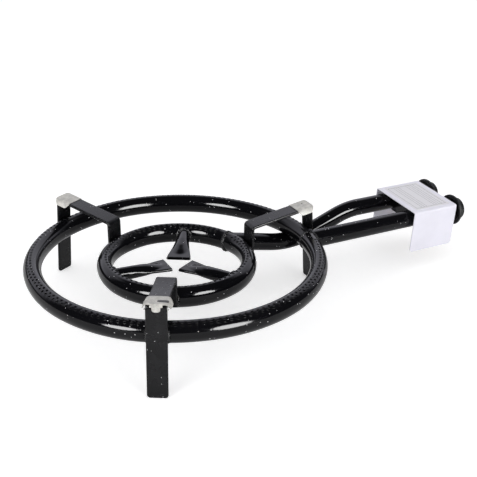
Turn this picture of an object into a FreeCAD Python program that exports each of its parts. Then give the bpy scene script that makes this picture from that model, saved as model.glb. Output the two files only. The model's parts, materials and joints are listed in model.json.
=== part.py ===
import FreeCAD
import Part
import math
import os

Vector = FreeCAD.Vector

# Two-ring paella burner. The origin is on the floor under the rings' common axis,
# X runs along the two feed tubes towards the taps, Z is up, lengths are in mm.

# Ring tubes, whose round section went oval in the bending
outer_ring_od = 400.0
outer_section_width = 23.2
outer_section_height = 26.7
outer_ring_z = 75.0
inner_ring_od = 212.0
inner_section_width = 21.2
inner_section_height = 27.8
inner_ring_z = 68.3
ring_wall = 1.5

# Gas ports, two staggered rows on each ring
port_d = 2.2
port_pitch = 8.0
port_row_gap = 4.0
outer_first_row = 1.5
inner_first_row = -1.5
ports_in_sector = 4
outer_joint_span = 40.0
inner_joint_span = 26.0

# Feed tubes
feed_od = 25.0
feed_wall = 1.5
outer_feed_y = -28.0
inner_feed_y = 34.0
feed_end_gap = 6.0
inner_feed_start_z = 67.0
inner_feed_dip_x = 198.0
inner_feed_dip_z = 43.2
inner_feed_level_x = 293.0
inner_feed_dip_bend = 130.0
inner_feed_level_bend = 110.0
inner_feed_root = 5.0

# Centre jets, tubes pressed flat into a fishtail
jet_count = 3
jet_first_azimuth = 60.0
jet_od = 18.0
jet_wall = 1.2
jet_tip_r = 14.0
jet_tip_width = 33.0
jet_tip_height = 4.4
jet_tip_z = 67.0
jet_root = 7.0
jet_hole_d = 12.0
jet_flat = 0.6

# Pan supports, each one flat bar bent twice
support_count = 3
bar_width = 25.0
bar_thickness = 4.0
bar_edge = 1.5
bar_bend = 4.0
rest_height = 117.5
arm_rise = 8.8
leg_splay = 4.3
post_bottom_z = 62.0
foot_corner = 3.0
post_gap = 0.1
leg_gap = 1.2
bead_r = 2.2
bead_fit = 0.02
post_bead_length = 15.0
leg_bead_length = 17.0
jet_bead_r = 2.0

# Steel clips over the outer corners of the supports
clip_sheet = 1.0
clip_gap = 0.05
clip_length = 24.0
clip_skirt = 5.5
clip_skirt_width = 35.0
clip_bend = 3.0
clip_corner = 8.0
clip_tongue_width = 14.5
clip_tongue_tip_width = 9.8
clip_tongue_step = 3.0
clip_tongue_drop = 9.0
clip_slot_length = 13.0
clip_slot_width = 1.5
clip_slot_shift = 6.5
clip_slot_back = 5.0

# Sheet bracket that shields the taps, drawn square with the outer tap before it is rolled
tap_end_roll = 3.5
bracket_start_x = 357.0
bracket_length = 77.0
bracket_outer_clearance = 5.0
bracket_inner_clearance = 0.9
bracket_top_z = 93.0
bracket_bottom_z = 28.0
bracket_sheet = 1.5
bracket_bend = 2.5
bracket_corner = 5.0
end_wall_bottom_z = 55.0
end_wall_gap = 0.4
label_margin = 8.0
label_thickness = 0.4

# Cross plate coped to both feed tubes inside the bracket
tube_plate_sheet = 2.0
tube_plate_set_back = 22.0
tube_plate_reach = 16.0
tube_plate_flange = 14.0
tube_plate_gap = 0.05

# Taps
tap_body_od = 20.0
tap_body_length = 28.0
tap_tail_od = 13.0
tap_tail_length = 9.0
tap_neck_od = 14.0
tap_neck_length = 8.0
tap_neck_gap = 0.1
tap_chamber_d = 10.6
tap_passage_d = 4.0
tap_side_boss_od = 14.0
tap_side_boss_reach = 13.0
tap_side_bore = 8.0
tap_side_port = 5.0
plug_length = 15.0
plug_big_d = 10.0
plug_small_d = 8.0
plug_seat_gap = 0.04
plug_set_back = 4.0
plug_end_gap = 0.3
plug_slot_width = 2.2
plug_slot_depth = 6.5
plug_bore_d = 3.0
plug_bore_depth = 6.5
stem_d = 6.0
stem_flat = 4.5
stem_collar_d = 9.6
stem_collar_length = 2.0
stem_rod_d = 4.0
stem_tongue_thickness = 2.1
stem_tongue_grip = 3.2
stem_fit = 0.05
push_travel = 2.5
bonnet_across_flats = 19.0
bonnet_cap = 1.8
spring_wire = 0.9
spring_od = 8.4
spring_turns = 4

# Injectors
injector_hex = 10.0
injector_hex_length = 5.0
injector_tip_d = 7.0
injector_tip_length = 8.0
injector_spigot_d = 6.0
injector_spigot_length = 5.0
injector_orifice = 1.0
injector_bore = 3.0

# Knobs
knob_d = 46.0
knob_skirt_edge = 3.0
knob_skirt_rise = 2.5
knob_grip_d = 36.0
knob_grip_tip_d = 33.0
knob_length = 15.0
knob_wall = 2.5
knob_floor_gap = 1.0
knob_clearance = 6.0
knob_flutes = 12
knob_flute_r = 3.0
knob_flute_depth = 0.9
knob_round = 1.5
knob_bore_depth = 6.0

# Gas manifold between the taps, and its hose nozzle
manifold_od = 12.0
manifold_bore = 6.0
manifold_block = 17.0
manifold_spigot_length = 4.0
manifold_fit = 0.05
inlet_boss_od = 15.0
nozzle_thread_d = 9.0
nozzle_thread_length = 11.0
nozzle_hex = 14.0
nozzle_hex_length = 5.0
nozzle_washer_od = 18.0
nozzle_washer_thickness = 1.0
nozzle_tail_d = 9.0
nozzle_tail_length = 21.0
nozzle_barb_d = 10.4
nozzle_barb_length = 5.0
nozzle_barbs = 3
nozzle_bore = 5.0

# How far every cutting shape runs past what it cuts, and how near counts as level
overrun = 2.0
tolerance = 0.1

origin = Vector(0, 0, 0)
x_axis = Vector(1, 0, 0)
y_axis = Vector(0, 1, 0)
z_axis = Vector(0, 0, 1)

wall_outer_x = bracket_start_x + bracket_length
wall_inner_x = wall_outer_x - bracket_sheet
tap_z = outer_ring_z
tap_rise = (inner_feed_y - outer_feed_y) * math.tan(math.radians(tap_end_roll))
inner_tap_y = outer_feed_y + (inner_feed_y - outer_feed_y) / math.cos(math.radians(tap_end_roll))
nozzle_y = (outer_feed_y + inner_tap_y) / 2
feed_end_x = wall_inner_x - tap_body_length - feed_end_gap
bracket_left = outer_feed_y - feed_od / 2 - bracket_outer_clearance - bracket_sheet
bracket_right = inner_tap_y + feed_od / 2 + bracket_inner_clearance + bracket_sheet
support_azimuths = [360.0 * index / support_count for index in range(support_count)]
jet_azimuths = [jet_first_azimuth + 360.0 * index / jet_count for index in range(jet_count)]


class Ring:
    """A ring bent from tube: centre line radius, level and half sizes of its oval section."""

    def __init__(self, outside_d, width, height, level):
        self.half_width = width / 2
        self.half_height = height / 2
        self.radius = outside_d / 2 - self.half_width
        self.outside_r = outside_d / 2
        self.inside_r = self.radius - self.half_width
        self.level = level

    def crown(self, offset):
        """Height of the section's upper face over the level, at an offset from the centre line."""
        return self.half_height * math.sqrt(1 - (offset / self.half_width) ** 2)


outer_ring = Ring(outer_ring_od, outer_section_width, outer_section_height, outer_ring_z)
inner_ring = Ring(inner_ring_od, inner_section_width, inner_section_height, inner_ring_z)


def x_rod(diameter, x_from, x_to, y, z):
    """Round bar along X between two stations."""
    return Part.makeCylinder(diameter / 2, x_to - x_from, Vector(x_from, y, z), x_axis)


def x_cone(d_from, d_to, x_from, x_to, y, z):
    """Tapered round bar along X."""
    return Part.makeCone(d_from / 2, d_to / 2, x_to - x_from, Vector(x_from, y, z), x_axis)


def x_hex(across_flats, x_from, x_to, y, z):
    """Hexagonal bar along X, with two flats upright."""
    corner = across_flats / math.sqrt(3)
    turns = [math.radians(60 * index + 30) for index in range(7)]
    points = [Vector(x_from, y + corner * math.cos(turn), z + corner * math.sin(turn)) for turn in turns]
    return Part.Face(Part.makePolygon(points)).extrude(Vector(x_to - x_from, 0, 0))


def y_rod(diameter, y_from, y_to, x, z):
    """Round bar along Y between two stations."""
    return Part.makeCylinder(diameter / 2, y_to - y_from, Vector(x, y_from, z), y_axis)


def box(x_from, x_to, y_from, y_to, z_from, z_to):
    """Block between its lowest and highest corners."""
    return Part.makeBox(x_to - x_from, y_to - y_from, z_to - z_from, Vector(x_from, y_from, z_from))


def at_azimuth(shape, azimuth):
    """The shape turned about the rings' axis."""
    return shape.rotated(origin, z_axis, azimuth)


def left_of(direction, normal):
    """Unit direction to the left of a direction, in the plane with that normal."""
    return normal.cross(direction).normalize()


def shifted_path(points, normal, shift):
    """A path moved sideways in its plane, with mitred corners."""
    sides = [left_of(after - before, normal) for before, after in zip(points, points[1:])]
    moved = [points[0] + sides[0] * shift]
    for point, before, after in zip(points[1:], sides, sides[1:]):
        moved.append(point + (before + after) * (shift / (1 + before.dot(after))))
    moved.append(points[-1] + sides[-1] * shift)
    return moved


def rounded_path(points, radii):
    """Edges of a path whose inner corners are tangent arcs."""
    edges = []
    start = points[0]
    for before, corner, after, radius in zip(points, points[1:], points[2:], radii):
        incoming = (corner - before).normalize()
        outgoing = (after - corner).normalize()
        half_turn = incoming.getAngle(outgoing) / 2
        reach = radius * math.tan(half_turn)
        inwards = (outgoing - incoming).normalize()
        middle = corner + inwards * (radius / math.cos(half_turn) - radius)
        arc_start = corner - incoming * reach
        arc_end = corner + outgoing * reach
        edges.append(Part.LineSegment(start, arc_start).toShape())
        edges.append(Part.Arc(arc_start, middle, arc_end).toShape())
        start = arc_end
    edges.append(Part.LineSegment(start, points[-1]).toShape())
    return edges


def strip_face(points, radii, thickness, normal):
    """Section of a bent strip: its centre line thickened to both sides."""
    half = thickness / 2
    turns = []
    for before, corner, after in zip(points, points[1:], points[2:]):
        side = (corner - before).cross(after - corner).dot(normal)
        turns.append(math.copysign(1, side))
    left = shifted_path(points, normal, half)
    right = shifted_path(points, normal, -half)
    left_radii = [radius - turn * half for radius, turn in zip(radii, turns)]
    right_radii = [radius + turn * half for radius, turn in zip(radii, turns)]
    edges = rounded_path(left, left_radii) + rounded_path(right, right_radii)
    edges.append(Part.LineSegment(left[0], right[0]).toShape())
    edges.append(Part.LineSegment(left[-1], right[-1]).toShape())
    return Part.Face(Part.Wire(Part.__sortEdges__(edges)))


def section_face(ring, inset):
    """Filled oval section of a ring in the XZ plane, inset from the tube's outer face."""
    centre = Vector(ring.radius, 0, ring.level)
    half_width = ring.half_width - inset
    half_height = ring.half_height - inset
    side = centre + x_axis * half_width
    bottom = centre - z_axis * half_height
    major, minor = (bottom, side) if half_height > half_width else (side, bottom)
    return Part.Face(Part.Wire(Part.Ellipse(major, minor, centre).toShape()))


def ring_block(ring, inset, start, sweep):
    """Solid oval bar along part of a ring, from a start azimuth."""
    block = section_face(ring, inset).revolve(origin, z_axis, sweep)
    return at_azimuth(block, start)


def port_drill(ring, offset, azimuth):
    """Drill for one gas port, square to the tube's face."""
    rise = ring.crown(offset)
    outwards = Vector(offset / ring.half_width ** 2, 0, rise / ring.half_height ** 2).normalize()
    mouth = Vector(ring.radius + offset, 0, ring.level + rise)
    depth = ring_wall + overrun
    drill = Part.makeCylinder(port_d / 2, depth + overrun, mouth - outwards * depth, outwards)
    return at_azimuth(drill, azimuth)


def skin(sector):
    """Faces of a ring sector without its two flat ends."""
    return [face for face in sector.Faces if face.Surface.TypeId != "Part::GeomPlane"]


def hollow_sector(ring, start, sweep):
    """Part of a ring's tube, open at both ends."""
    return ring_block(ring, 0, start, sweep).cut(ring_block(ring, ring_wall, start, sweep))


def ported_ring(ring, first_row, joint_azimuth, joint_span):
    """A hollow ring of like sectors with ports, closed by a plain one at its joint."""
    second_row = first_row + math.copysign(port_row_gap, first_row)
    joint_sweep = math.degrees(joint_span / ring.radius)
    joint_start = joint_azimuth - joint_sweep / 2
    count = round((2 * math.pi * ring.radius - joint_span) / (port_pitch * ports_in_sector))
    sweep = (360.0 - joint_sweep) / count
    step = sweep / ports_in_sector
    drills = []
    for index in range(ports_in_sector):
        drills.append(port_drill(ring, first_row, step * (index + 1 / 4)))
        drills.append(port_drill(ring, second_row, step * (index + 3 / 4)))
    ported = skin(hollow_sector(ring, 0, sweep).cut(drills))
    faces = skin(hollow_sector(ring, joint_start, joint_sweep))
    for index in range(count):
        start = joint_start + joint_sweep + sweep * index
        faces += [at_azimuth(face, start) for face in ported]
    shell = Part.makeShell(faces)
    shell.sewShape()
    solid = Part.makeSolid(shell)
    return solid if solid.Volume > 0 else solid.reversed()


def outer_feed_bore():
    """Bore of the outer ring's feed, run through the ring's wall."""
    bore_d = feed_od - 2 * feed_wall
    return x_rod(bore_d, outer_ring.radius, feed_end_x + overrun, outer_feed_y, tap_z)


def make_outer_ring():
    azimuth = math.degrees(math.asin(outer_feed_y / outer_ring.radius))
    ring = ported_ring(outer_ring, outer_first_row, azimuth, outer_joint_span)
    return ring.cut(outer_feed_bore())


def make_outer_feed():
    """Straight tube, coped where it meets the outer ring."""
    tube = x_rod(feed_od, outer_ring.radius, feed_end_x, outer_feed_y, tap_z)
    azimuth = math.degrees(math.asin(outer_feed_y / outer_ring.radius))
    spread = math.degrees(feed_od / outer_ring.radius)
    cope = ring_block(outer_ring, 0, azimuth - spread, 2 * spread)
    return tube.cut([outer_feed_bore(), cope])


def inner_feed_points():
    """Corners of the inner feed's route, which dips to pass under the outer ring."""
    ring_x = math.sqrt(inner_ring.radius ** 2 - inner_feed_y ** 2)
    ring_end = Vector(ring_x, inner_feed_y, inner_feed_start_z)
    dip = Vector(inner_feed_dip_x, inner_feed_y, inner_feed_dip_z)
    level = Vector(inner_feed_level_x, inner_feed_y, tap_z + tap_rise)
    end = Vector(feed_end_x, inner_feed_y, tap_z + tap_rise)
    return [ring_end, dip, level, end]


def inner_feed_run(diameter, root, tail):
    """Round bar along the inner feed's route, moved at its ends by root and tail."""
    points = inner_feed_points()
    down = (points[1] - points[0]).normalize()
    points[0] += down * root
    points[-1] += x_axis * tail
    radii = [inner_feed_dip_bend, inner_feed_level_bend]
    path = Part.Wire(rounded_path(points, radii))
    profile = Part.Wire(Part.makeCircle(diameter / 2, points[0], down))
    return path.makePipeShell([profile], True, False)


def make_inner_feed():
    """Bent tube, coped where it meets the inner ring."""
    tube = inner_feed_run(feed_od, inner_feed_root, 0)
    bore = inner_feed_run(feed_od - 2 * feed_wall, inner_feed_root - overrun, overrun)
    azimuth = math.degrees(math.asin(inner_feed_y / inner_ring.radius))
    spread = math.degrees(feed_od / inner_ring.radius)
    cope = ring_block(inner_ring, 0, azimuth - spread, 2 * spread)
    return tube.cut([bore, cope])


def make_inner_ring():
    """Ring with its feed's hole outside and a hole into each centre jet inside."""
    azimuth = math.degrees(math.asin(inner_feed_y / inner_ring.outside_r))
    ring = ported_ring(inner_ring, inner_first_row, azimuth, inner_joint_span)
    start, dip = inner_feed_points()[:2]
    bore_r = feed_od / 2 - feed_wall
    cuts = [Part.makeCylinder(bore_r, feed_od, start, dip - start)]
    hole = x_rod(jet_hole_d, inner_ring.inside_r - overrun, inner_ring.radius, 0, inner_ring_z)
    cuts += [at_azimuth(hole, azimuth) for azimuth in jet_azimuths]
    return ring.cut(cuts)


def oval_wire(station, width, height, level):
    """Flat-sided oval across X: two level lines and two half circles."""
    flat = (width - height) / 2
    half = height / 2
    top_left = Vector(station, -flat, level + half)
    top_right = Vector(station, flat, level + half)
    low_left = Vector(station, -flat, level - half)
    low_right = Vector(station, flat, level - half)
    right = Vector(station, flat + half, level)
    left = Vector(station, -flat - half, level)
    edges = [
        Part.LineSegment(top_left, top_right).toShape(),
        Part.Arc(top_right, right, low_right).toShape(),
        Part.LineSegment(low_right, low_left).toShape(),
        Part.Arc(low_left, left, top_left).toShape(),
    ]
    return Part.Wire(edges)


# Along a jet from the ring to its tip: the station, how far it has widened, and how far
# it has been pressed flat
jet_station_shares = [0, 0.3, 0.62, 0.86, 1]
jet_width_shares = [0, 0.16, 0.5, 0.84, 1]
jet_flat_shares = [0, 0.12, 0.52, 0.93, 1]


def jet_body(inset, tip_overrun):
    """Solid fishtail of a jet, inset from its outer face."""
    root_r = inner_ring.inside_r + jet_root
    wires = []
    for station, widening, pressing in zip(jet_station_shares, jet_width_shares, jet_flat_shares):
        x = root_r + (jet_tip_r - root_r) * station
        width = jet_od + jet_flat + (jet_tip_width - jet_od - jet_flat) * widening
        height = jet_od + (jet_tip_height - jet_od) * pressing
        level = inner_ring_z + (jet_tip_z - inner_ring_z) * station
        wires.append(oval_wire(x, width - 2 * inset, height - 2 * inset, level))
    if tip_overrun:
        slot = oval_wire(jet_tip_r - tip_overrun, width - 2 * inset, height - 2 * inset, level)
        mouth = Part.makeLoft([wires[-1], slot], True, True)
        return Part.makeLoft(wires, True, False).fuse(mouth)
    return Part.makeLoft(wires, True, False)


def make_jet(azimuth):
    """Jet open at its tip and coped to the inner ring."""
    spread = math.degrees(jet_od / inner_ring.radius)
    cope = ring_block(inner_ring, 0, -spread, 2 * spread)
    jet = jet_body(0, 0).cut([jet_body(jet_wall, overrun), cope])
    return at_azimuth(jet, azimuth)


def support_points():
    """Corners of a support's centre line, from the post's end over the arm to the floor."""
    lean = math.radians(leg_splay)
    rise = math.radians(arm_rise)
    ring_reach = math.hypot(outer_ring.half_width * math.cos(lean), outer_ring.half_height * math.sin(lean))
    reach = ring_reach + leg_gap + bar_thickness / 2
    leg_r = outer_ring.radius + reach * math.cos(lean)
    leg_z = outer_ring_z + reach * math.sin(lean)
    foot = Vector(leg_r + leg_z * math.tan(lean), 0, 0)
    corner_z = rest_height - bar_thickness / 2
    corner_r = leg_r - (corner_z - leg_z) * math.tan(lean)
    post_r = inner_ring.outside_r + post_gap + bar_thickness / 2
    bend_z = corner_z - (corner_r - post_r) * math.tan(rise)
    return [Vector(post_r, 0, post_bottom_z), Vector(post_r, 0, bend_z), Vector(corner_r, 0, corner_z), foot]


def foot_trim(reach):
    """Block as wide as the bar, standing on the floor on two rounded lower corners."""
    half = bar_width / 2
    block = box(0, reach, -half, half, 0, reach)
    lower = [edge for edge in block.Edges if is_foot_edge(edge)]
    return block.makeFillet(foot_corner, lower)


def is_foot_edge(edge):
    """Whether an edge of the trimming block runs along X on the floor."""
    first, last = edge.Vertexes[0].Point, edge.Vertexes[-1].Point
    along_x = abs(first.y - last.y) < tolerance and abs(first.z - last.z) < tolerance
    return along_x and abs(first.z) < tolerance


def support_bar():
    """Support on the X axis: flat bar with rounded edges, bent at the post and at the corner."""
    points = support_points()
    lean = (points[-1] - points[-2]).normalize()
    points[-1] += lean * (2 * bar_thickness)
    section = strip_face(points, [bar_bend, bar_bend], bar_thickness, y_axis)
    section.translate(y_axis * (-bar_width / 2))
    bar = section.extrude(y_axis * bar_width)
    flanks = [edge for edge in bar.Edges if abs(edge.BoundBox.YLength) < tolerance]
    long_edges = [edge for edge in flanks if edge.Length > bar_thickness + tolerance]
    bar = bar.makeFillet(bar_edge, long_edges)
    return bar.common(foot_trim(2 * outer_ring.outside_r))


def largest_solid(shape):
    return max(shape.Solids, key=lambda solid: solid.Volume)


def support_beads(bar):
    """Weld beads that join one support to both rings, beside the bar."""
    spread = math.degrees(bar_width / inner_ring.radius)
    rings = [ring_block(ring, -bead_fit, -spread, 2 * spread) for ring in (inner_ring, outer_ring)]
    places = [
        (inner_ring.outside_r, inner_ring_z, post_bead_length),
        (outer_ring.outside_r, outer_ring_z, leg_bead_length),
    ]
    beads = []
    for radius, level, length in places:
        for side in (-1, 1):
            foot = Vector(radius, side * bar_width / 2, level - length / 2)
            bead = Part.makeCylinder(bead_r, length, foot, z_axis)
            beads.append(largest_solid(bead.cut([bar] + rings)))
    return beads


def jet_bead():
    """Weld bead round a jet where it meets the inner ring."""
    centre = Vector(inner_ring.inside_r, 0, inner_ring_z)
    bead = Part.makeTorus(jet_od / 2 + jet_flat / 2, jet_bead_r, centre, x_axis)
    spread = math.degrees(jet_od / inner_ring.radius)
    ring = ring_block(inner_ring, 0, -spread, 2 * spread)
    return largest_solid(bead.cut([jet_body(0, 0), ring]))


def clip_placement():
    """Placement whose origin is the corner over the leg, X out along the arm and Z off its face."""
    corner = shifted_path(support_points(), y_axis, -bar_thickness / 2)[2]
    return FreeCAD.Placement(corner, FreeCAD.Rotation(y_axis, -arm_rise))


def clip_outline():
    """Plan of the cap, its two outer corners rounded, as a tall block."""
    skirt = clip_skirt_width / 2
    block = box(-clip_length, 0, -skirt, skirt, -clip_length, clip_length)
    upright = [edge for edge in block.Edges if edge.BoundBox.ZLength > clip_length]
    return block.makeFillet(clip_corner, [edge for edge in upright if edge.BoundBox.XMin > -tolerance])


def clip_cap():
    """Cap over the arm's end: a sheet with flared sides and rounded outer corners."""
    level = clip_gap + clip_sheet / 2
    shoulder = bar_width / 2 + clip_sheet
    skirt = clip_skirt_width / 2
    points = [
        Vector(-clip_length, -skirt, -clip_skirt),
        Vector(-clip_length, -shoulder, level),
        Vector(-clip_length, shoulder, level),
        Vector(-clip_length, skirt, -clip_skirt),
    ]
    section = strip_face(points, [clip_bend, clip_bend], clip_sheet, x_axis)
    cap = section.extrude(x_axis * clip_length)
    slot = box(-clip_slot_back - clip_slot_width, -clip_slot_back,
               clip_slot_shift - clip_slot_length / 2, clip_slot_shift + clip_slot_length / 2,
               -overrun, clip_sheet + overrun)
    cap = cap.common(clip_outline()).cut(slot)
    cap.Placement = clip_placement()
    return cap


def clip_tongue():
    """Tongue that folds from the cap over the corner and down the leg's outer face."""
    shift = bar_thickness / 2 + clip_gap + clip_sheet / 2
    before, corner, after = shifted_path(support_points(), y_axis, -shift)[1:]
    inwards = (before - corner).normalize()
    down = (after - corner).normalize()
    points = [corner + inwards * clip_length / 2, corner, corner + down * clip_tongue_drop]
    section = strip_face(points, [bar_bend + shift], clip_sheet, y_axis)
    half = clip_tongue_width / 2
    section.translate(y_axis * -half)
    tongue = section.extrude(y_axis * clip_tongue_width)
    reach = outer_ring.outside_r + clip_length
    tip_half = clip_tongue_tip_width / 2
    step_z = corner.z - clip_tongue_step
    end_z = corner.z - clip_tongue_drop
    shape = box(0, reach, -half, half, step_z, corner.z + overrun)
    shape = shape.fuse(box(0, reach, -tip_half, tip_half, end_z + tip_half, step_z))
    shape = shape.fuse(x_rod(clip_tongue_tip_width, 0, reach, 0, end_z + tip_half))
    return tongue.common(shape)


def make_clip(azimuth):
    return at_azimuth(clip_cap().fuse(clip_tongue()).removeSplitter(), azimuth)


def bracket_shell():
    """Top and two flaps of the bracket, the flaps' lower corners rounded."""
    half = bracket_sheet / 2
    left = bracket_left + half
    right = bracket_right - half
    top = bracket_top_z - half
    points = [
        Vector(bracket_start_x, left, bracket_bottom_z),
        Vector(bracket_start_x, left, top),
        Vector(bracket_start_x, right, top),
        Vector(bracket_start_x, right, bracket_bottom_z),
    ]
    section = strip_face(points, [bracket_bend, bracket_bend], bracket_sheet, x_axis)
    shell = section.extrude(x_axis * bracket_length)
    corners = [edge for edge in shell.Edges if is_flap_corner(edge)]
    return shell.makeFillet(bracket_corner, corners)


def is_flap_corner(edge):
    """Whether an edge crosses a flap's sheet at its lower corner."""
    middle = edge.CenterOfMass
    across = edge.BoundBox.YLength > bracket_sheet / 2
    at_end = min(abs(middle.x - bracket_start_x), abs(middle.x - wall_outer_x)) < tolerance
    return across and at_end and abs(middle.z - bracket_bottom_z) < tolerance


def make_bracket():
    """Bracket with its end wall, which is bored for both taps and for the hose inlet."""
    inset = bracket_sheet + end_wall_gap
    wall = box(wall_inner_x, wall_outer_x, bracket_left + inset, bracket_right - inset,
               end_wall_bottom_z, bracket_top_z - bracket_sheet / 2)
    bracket = bracket_shell().fuse(wall)
    neck_hole_d = tap_neck_od + 2 * tap_neck_gap
    thread_hole_d = nozzle_thread_d + 2 * tap_neck_gap
    holes = [x_rod(neck_hole_d, wall_inner_x - overrun, wall_outer_x + overrun, y, tap_z)
             for y in (outer_feed_y, inner_tap_y)]
    holes.append(x_rod(thread_hole_d, wall_inner_x - overrun, wall_outer_x + overrun, nozzle_y, tap_z))
    return bracket.cut(holes)


def make_label_plate():
    """Bare plate on the bracket's top."""
    return box(bracket_start_x + label_margin, wall_outer_x - label_margin, bracket_left + label_margin,
               bracket_right - label_margin, bracket_top_z, bracket_top_z + label_thickness)


def make_tube_plate():
    """Cross plate between the feed tubes, its flange spot-welded under the bracket's top."""
    x = bracket_start_x + tube_plate_set_back
    top = bracket_top_z - bracket_sheet - tube_plate_sheet / 2
    points = [
        Vector(x, outer_feed_y, tap_z - tube_plate_reach),
        Vector(x, outer_feed_y, top),
        Vector(x + tube_plate_flange, outer_feed_y, top),
    ]
    section = strip_face(points, [bracket_bend], tube_plate_sheet, y_axis)
    plate = section.extrude(y_axis * (inner_tap_y - outer_feed_y))
    cope_d = feed_od + 2 * tube_plate_gap
    copes = [x_rod(cope_d, x - tube_plate_flange, x + tube_plate_flange, y, tap_z)
             for y in (outer_feed_y, inner_tap_y)]
    return plate.cut(copes)


tap_back_x = wall_inner_x - tap_body_length
tap_tail_x = tap_back_x - tap_tail_length
neck_end_x = wall_outer_x + tap_neck_length
plug_back_x = tap_back_x + plug_set_back
plug_front_x = plug_back_x + plug_length
manifold_x = tap_back_x + tap_side_boss_od / 2 + tap_neck_gap
collar_front_x = neck_end_x - stem_fit
collar_back_x = collar_front_x - stem_collar_length
knob_back_x = wall_outer_x + knob_clearance
knob_recess = neck_end_x + bonnet_cap - knob_back_x + push_travel + knob_floor_gap
stem_end_x = knob_back_x + knob_recess + knob_bore_depth - knob_floor_gap


def make_tap_body(y, side):
    """Brass tap body; side is +1 where the manifold lies towards +Y."""
    body = x_rod(tap_body_od, tap_back_x, wall_inner_x, y, tap_z)
    body = body.fuse(x_rod(tap_neck_od, wall_inner_x, neck_end_x, y, tap_z))
    body = body.fuse(x_rod(tap_tail_od, tap_tail_x, tap_back_x, y, tap_z))
    boss_end = y + side * tap_side_boss_reach
    body = body.fuse(y_rod(tap_side_boss_od, min(y, boss_end), max(y, boss_end), manifold_x, tap_z))
    spigot_end = boss_end - side * manifold_spigot_length
    past_end = boss_end + side * overrun
    seat_gap = 2 * plug_seat_gap
    cuts = [
        x_rod(tap_chamber_d, plug_front_x, neck_end_x + overrun, y, tap_z),
        x_cone(plug_small_d + seat_gap, plug_big_d + seat_gap, plug_back_x - plug_end_gap, plug_front_x,
               y, tap_z),
        x_rod(tap_passage_d, tap_tail_x - overrun, plug_front_x, y, tap_z),
        x_rod(injector_spigot_d + seat_gap, tap_tail_x - overrun, tap_tail_x + injector_spigot_length,
              y, tap_z),
        y_rod(tap_side_port, min(y, spigot_end), max(y, spigot_end), manifold_x, tap_z),
        y_rod(tap_side_bore, min(spigot_end, past_end), max(spigot_end, past_end), manifold_x, tap_z),
    ]
    return body.cut(cuts).removeSplitter()


def make_injector(y):
    """Brass injector screwed into the tap's tail, its orifice aimed into the feed tube."""
    hex_start = tap_tail_x - injector_hex_length
    tip_start = hex_start - injector_tip_length
    spigot_end = tap_tail_x + injector_spigot_length
    body = x_hex(injector_hex, hex_start, tap_tail_x, y, tap_z)
    body = body.fuse(x_rod(injector_spigot_d, tap_tail_x, spigot_end, y, tap_z))
    body = body.fuse(x_cone(injector_tip_d, injector_hex, tip_start, hex_start, y, tap_z))
    bore = x_rod(injector_bore, hex_start, spigot_end + overrun, y, tap_z)
    orifice = x_rod(injector_orifice, tip_start - overrun, hex_start, y, tap_z)
    return body.cut([bore, orifice])


def make_plug(y, side):
    """Tapered plug: gas enters by its side port when it is turned to the manifold."""
    plug = x_cone(plug_small_d, plug_big_d, plug_back_x, plug_front_x, y, tap_z)
    port_end = tap_z - side * plug_big_d
    slot = box(plug_front_x - plug_slot_depth, plug_front_x + overrun, y - plug_big_d, y + plug_big_d,
               tap_z - plug_slot_width / 2, tap_z + plug_slot_width / 2)
    bore = x_rod(plug_bore_d, plug_back_x - overrun, plug_back_x + plug_bore_depth, y, tap_z)
    port_foot = Vector(manifold_x, y, min(tap_z, port_end))
    port = Part.makeCylinder(plug_bore_d / 2, plug_big_d, port_foot, z_axis)
    return plug.cut([slot, bore, port])


def make_stem(y):
    """Spindle: a tongue that slides in the plug's slot, a collar and a D shaft for the knob."""
    rod_start = plug_front_x + push_travel + stem_fit
    tongue_start = plug_front_x - stem_tongue_grip
    half = stem_tongue_thickness / 2
    stem = x_rod(stem_d, collar_front_x, stem_end_x, y, tap_z)
    flat = box(knob_back_x + knob_recess, stem_end_x + overrun, y - stem_d, y + stem_d,
               tap_z + stem_flat - stem_d / 2, tap_z + stem_d)
    stem = stem.cut(flat)
    stem = stem.fuse(x_rod(stem_collar_d, collar_back_x, collar_front_x, y, tap_z))
    stem = stem.fuse(x_rod(stem_rod_d, rod_start, collar_back_x, y, tap_z))
    tongue = x_rod(stem_rod_d, tongue_start, rod_start, y, tap_z)
    key = box(tongue_start, rod_start, y - stem_d, y + stem_d, tap_z - half, tap_z + half)
    return stem.fuse(tongue.common(key))


def make_bonnet_nut(y):
    """Cap nut that clamps the tap to the end wall and guides the stem."""
    front = neck_end_x + bonnet_cap
    nut = x_hex(bonnet_across_flats, wall_outer_x, front, y, tap_z)
    thread = x_rod(tap_neck_od + 2 * stem_fit, wall_outer_x - overrun, neck_end_x, y, tap_z)
    guide = x_rod(stem_d + 2 * stem_fit, neck_end_x - overrun, front + overrun, y, tap_z)
    return nut.cut([thread, guide])


def winding_path(points):
    """Tangent arcs round the corners of a path, each reaching halfway to the next corner."""
    edges = []
    for before, corner, after in zip(points, points[1:], points[2:]):
        start = (before + corner) / 2
        end = (corner + after) / 2
        half_turn = (corner - before).getAngle(after - corner) / 2
        radius = start.distanceToPoint(corner) / math.tan(half_turn)
        inwards = (start + end - corner * 2).normalize()
        middle = corner + inwards * (radius / math.cos(half_turn) - radius)
        edges.append(Part.Arc(start, middle, end).toShape())
    return edges


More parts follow.
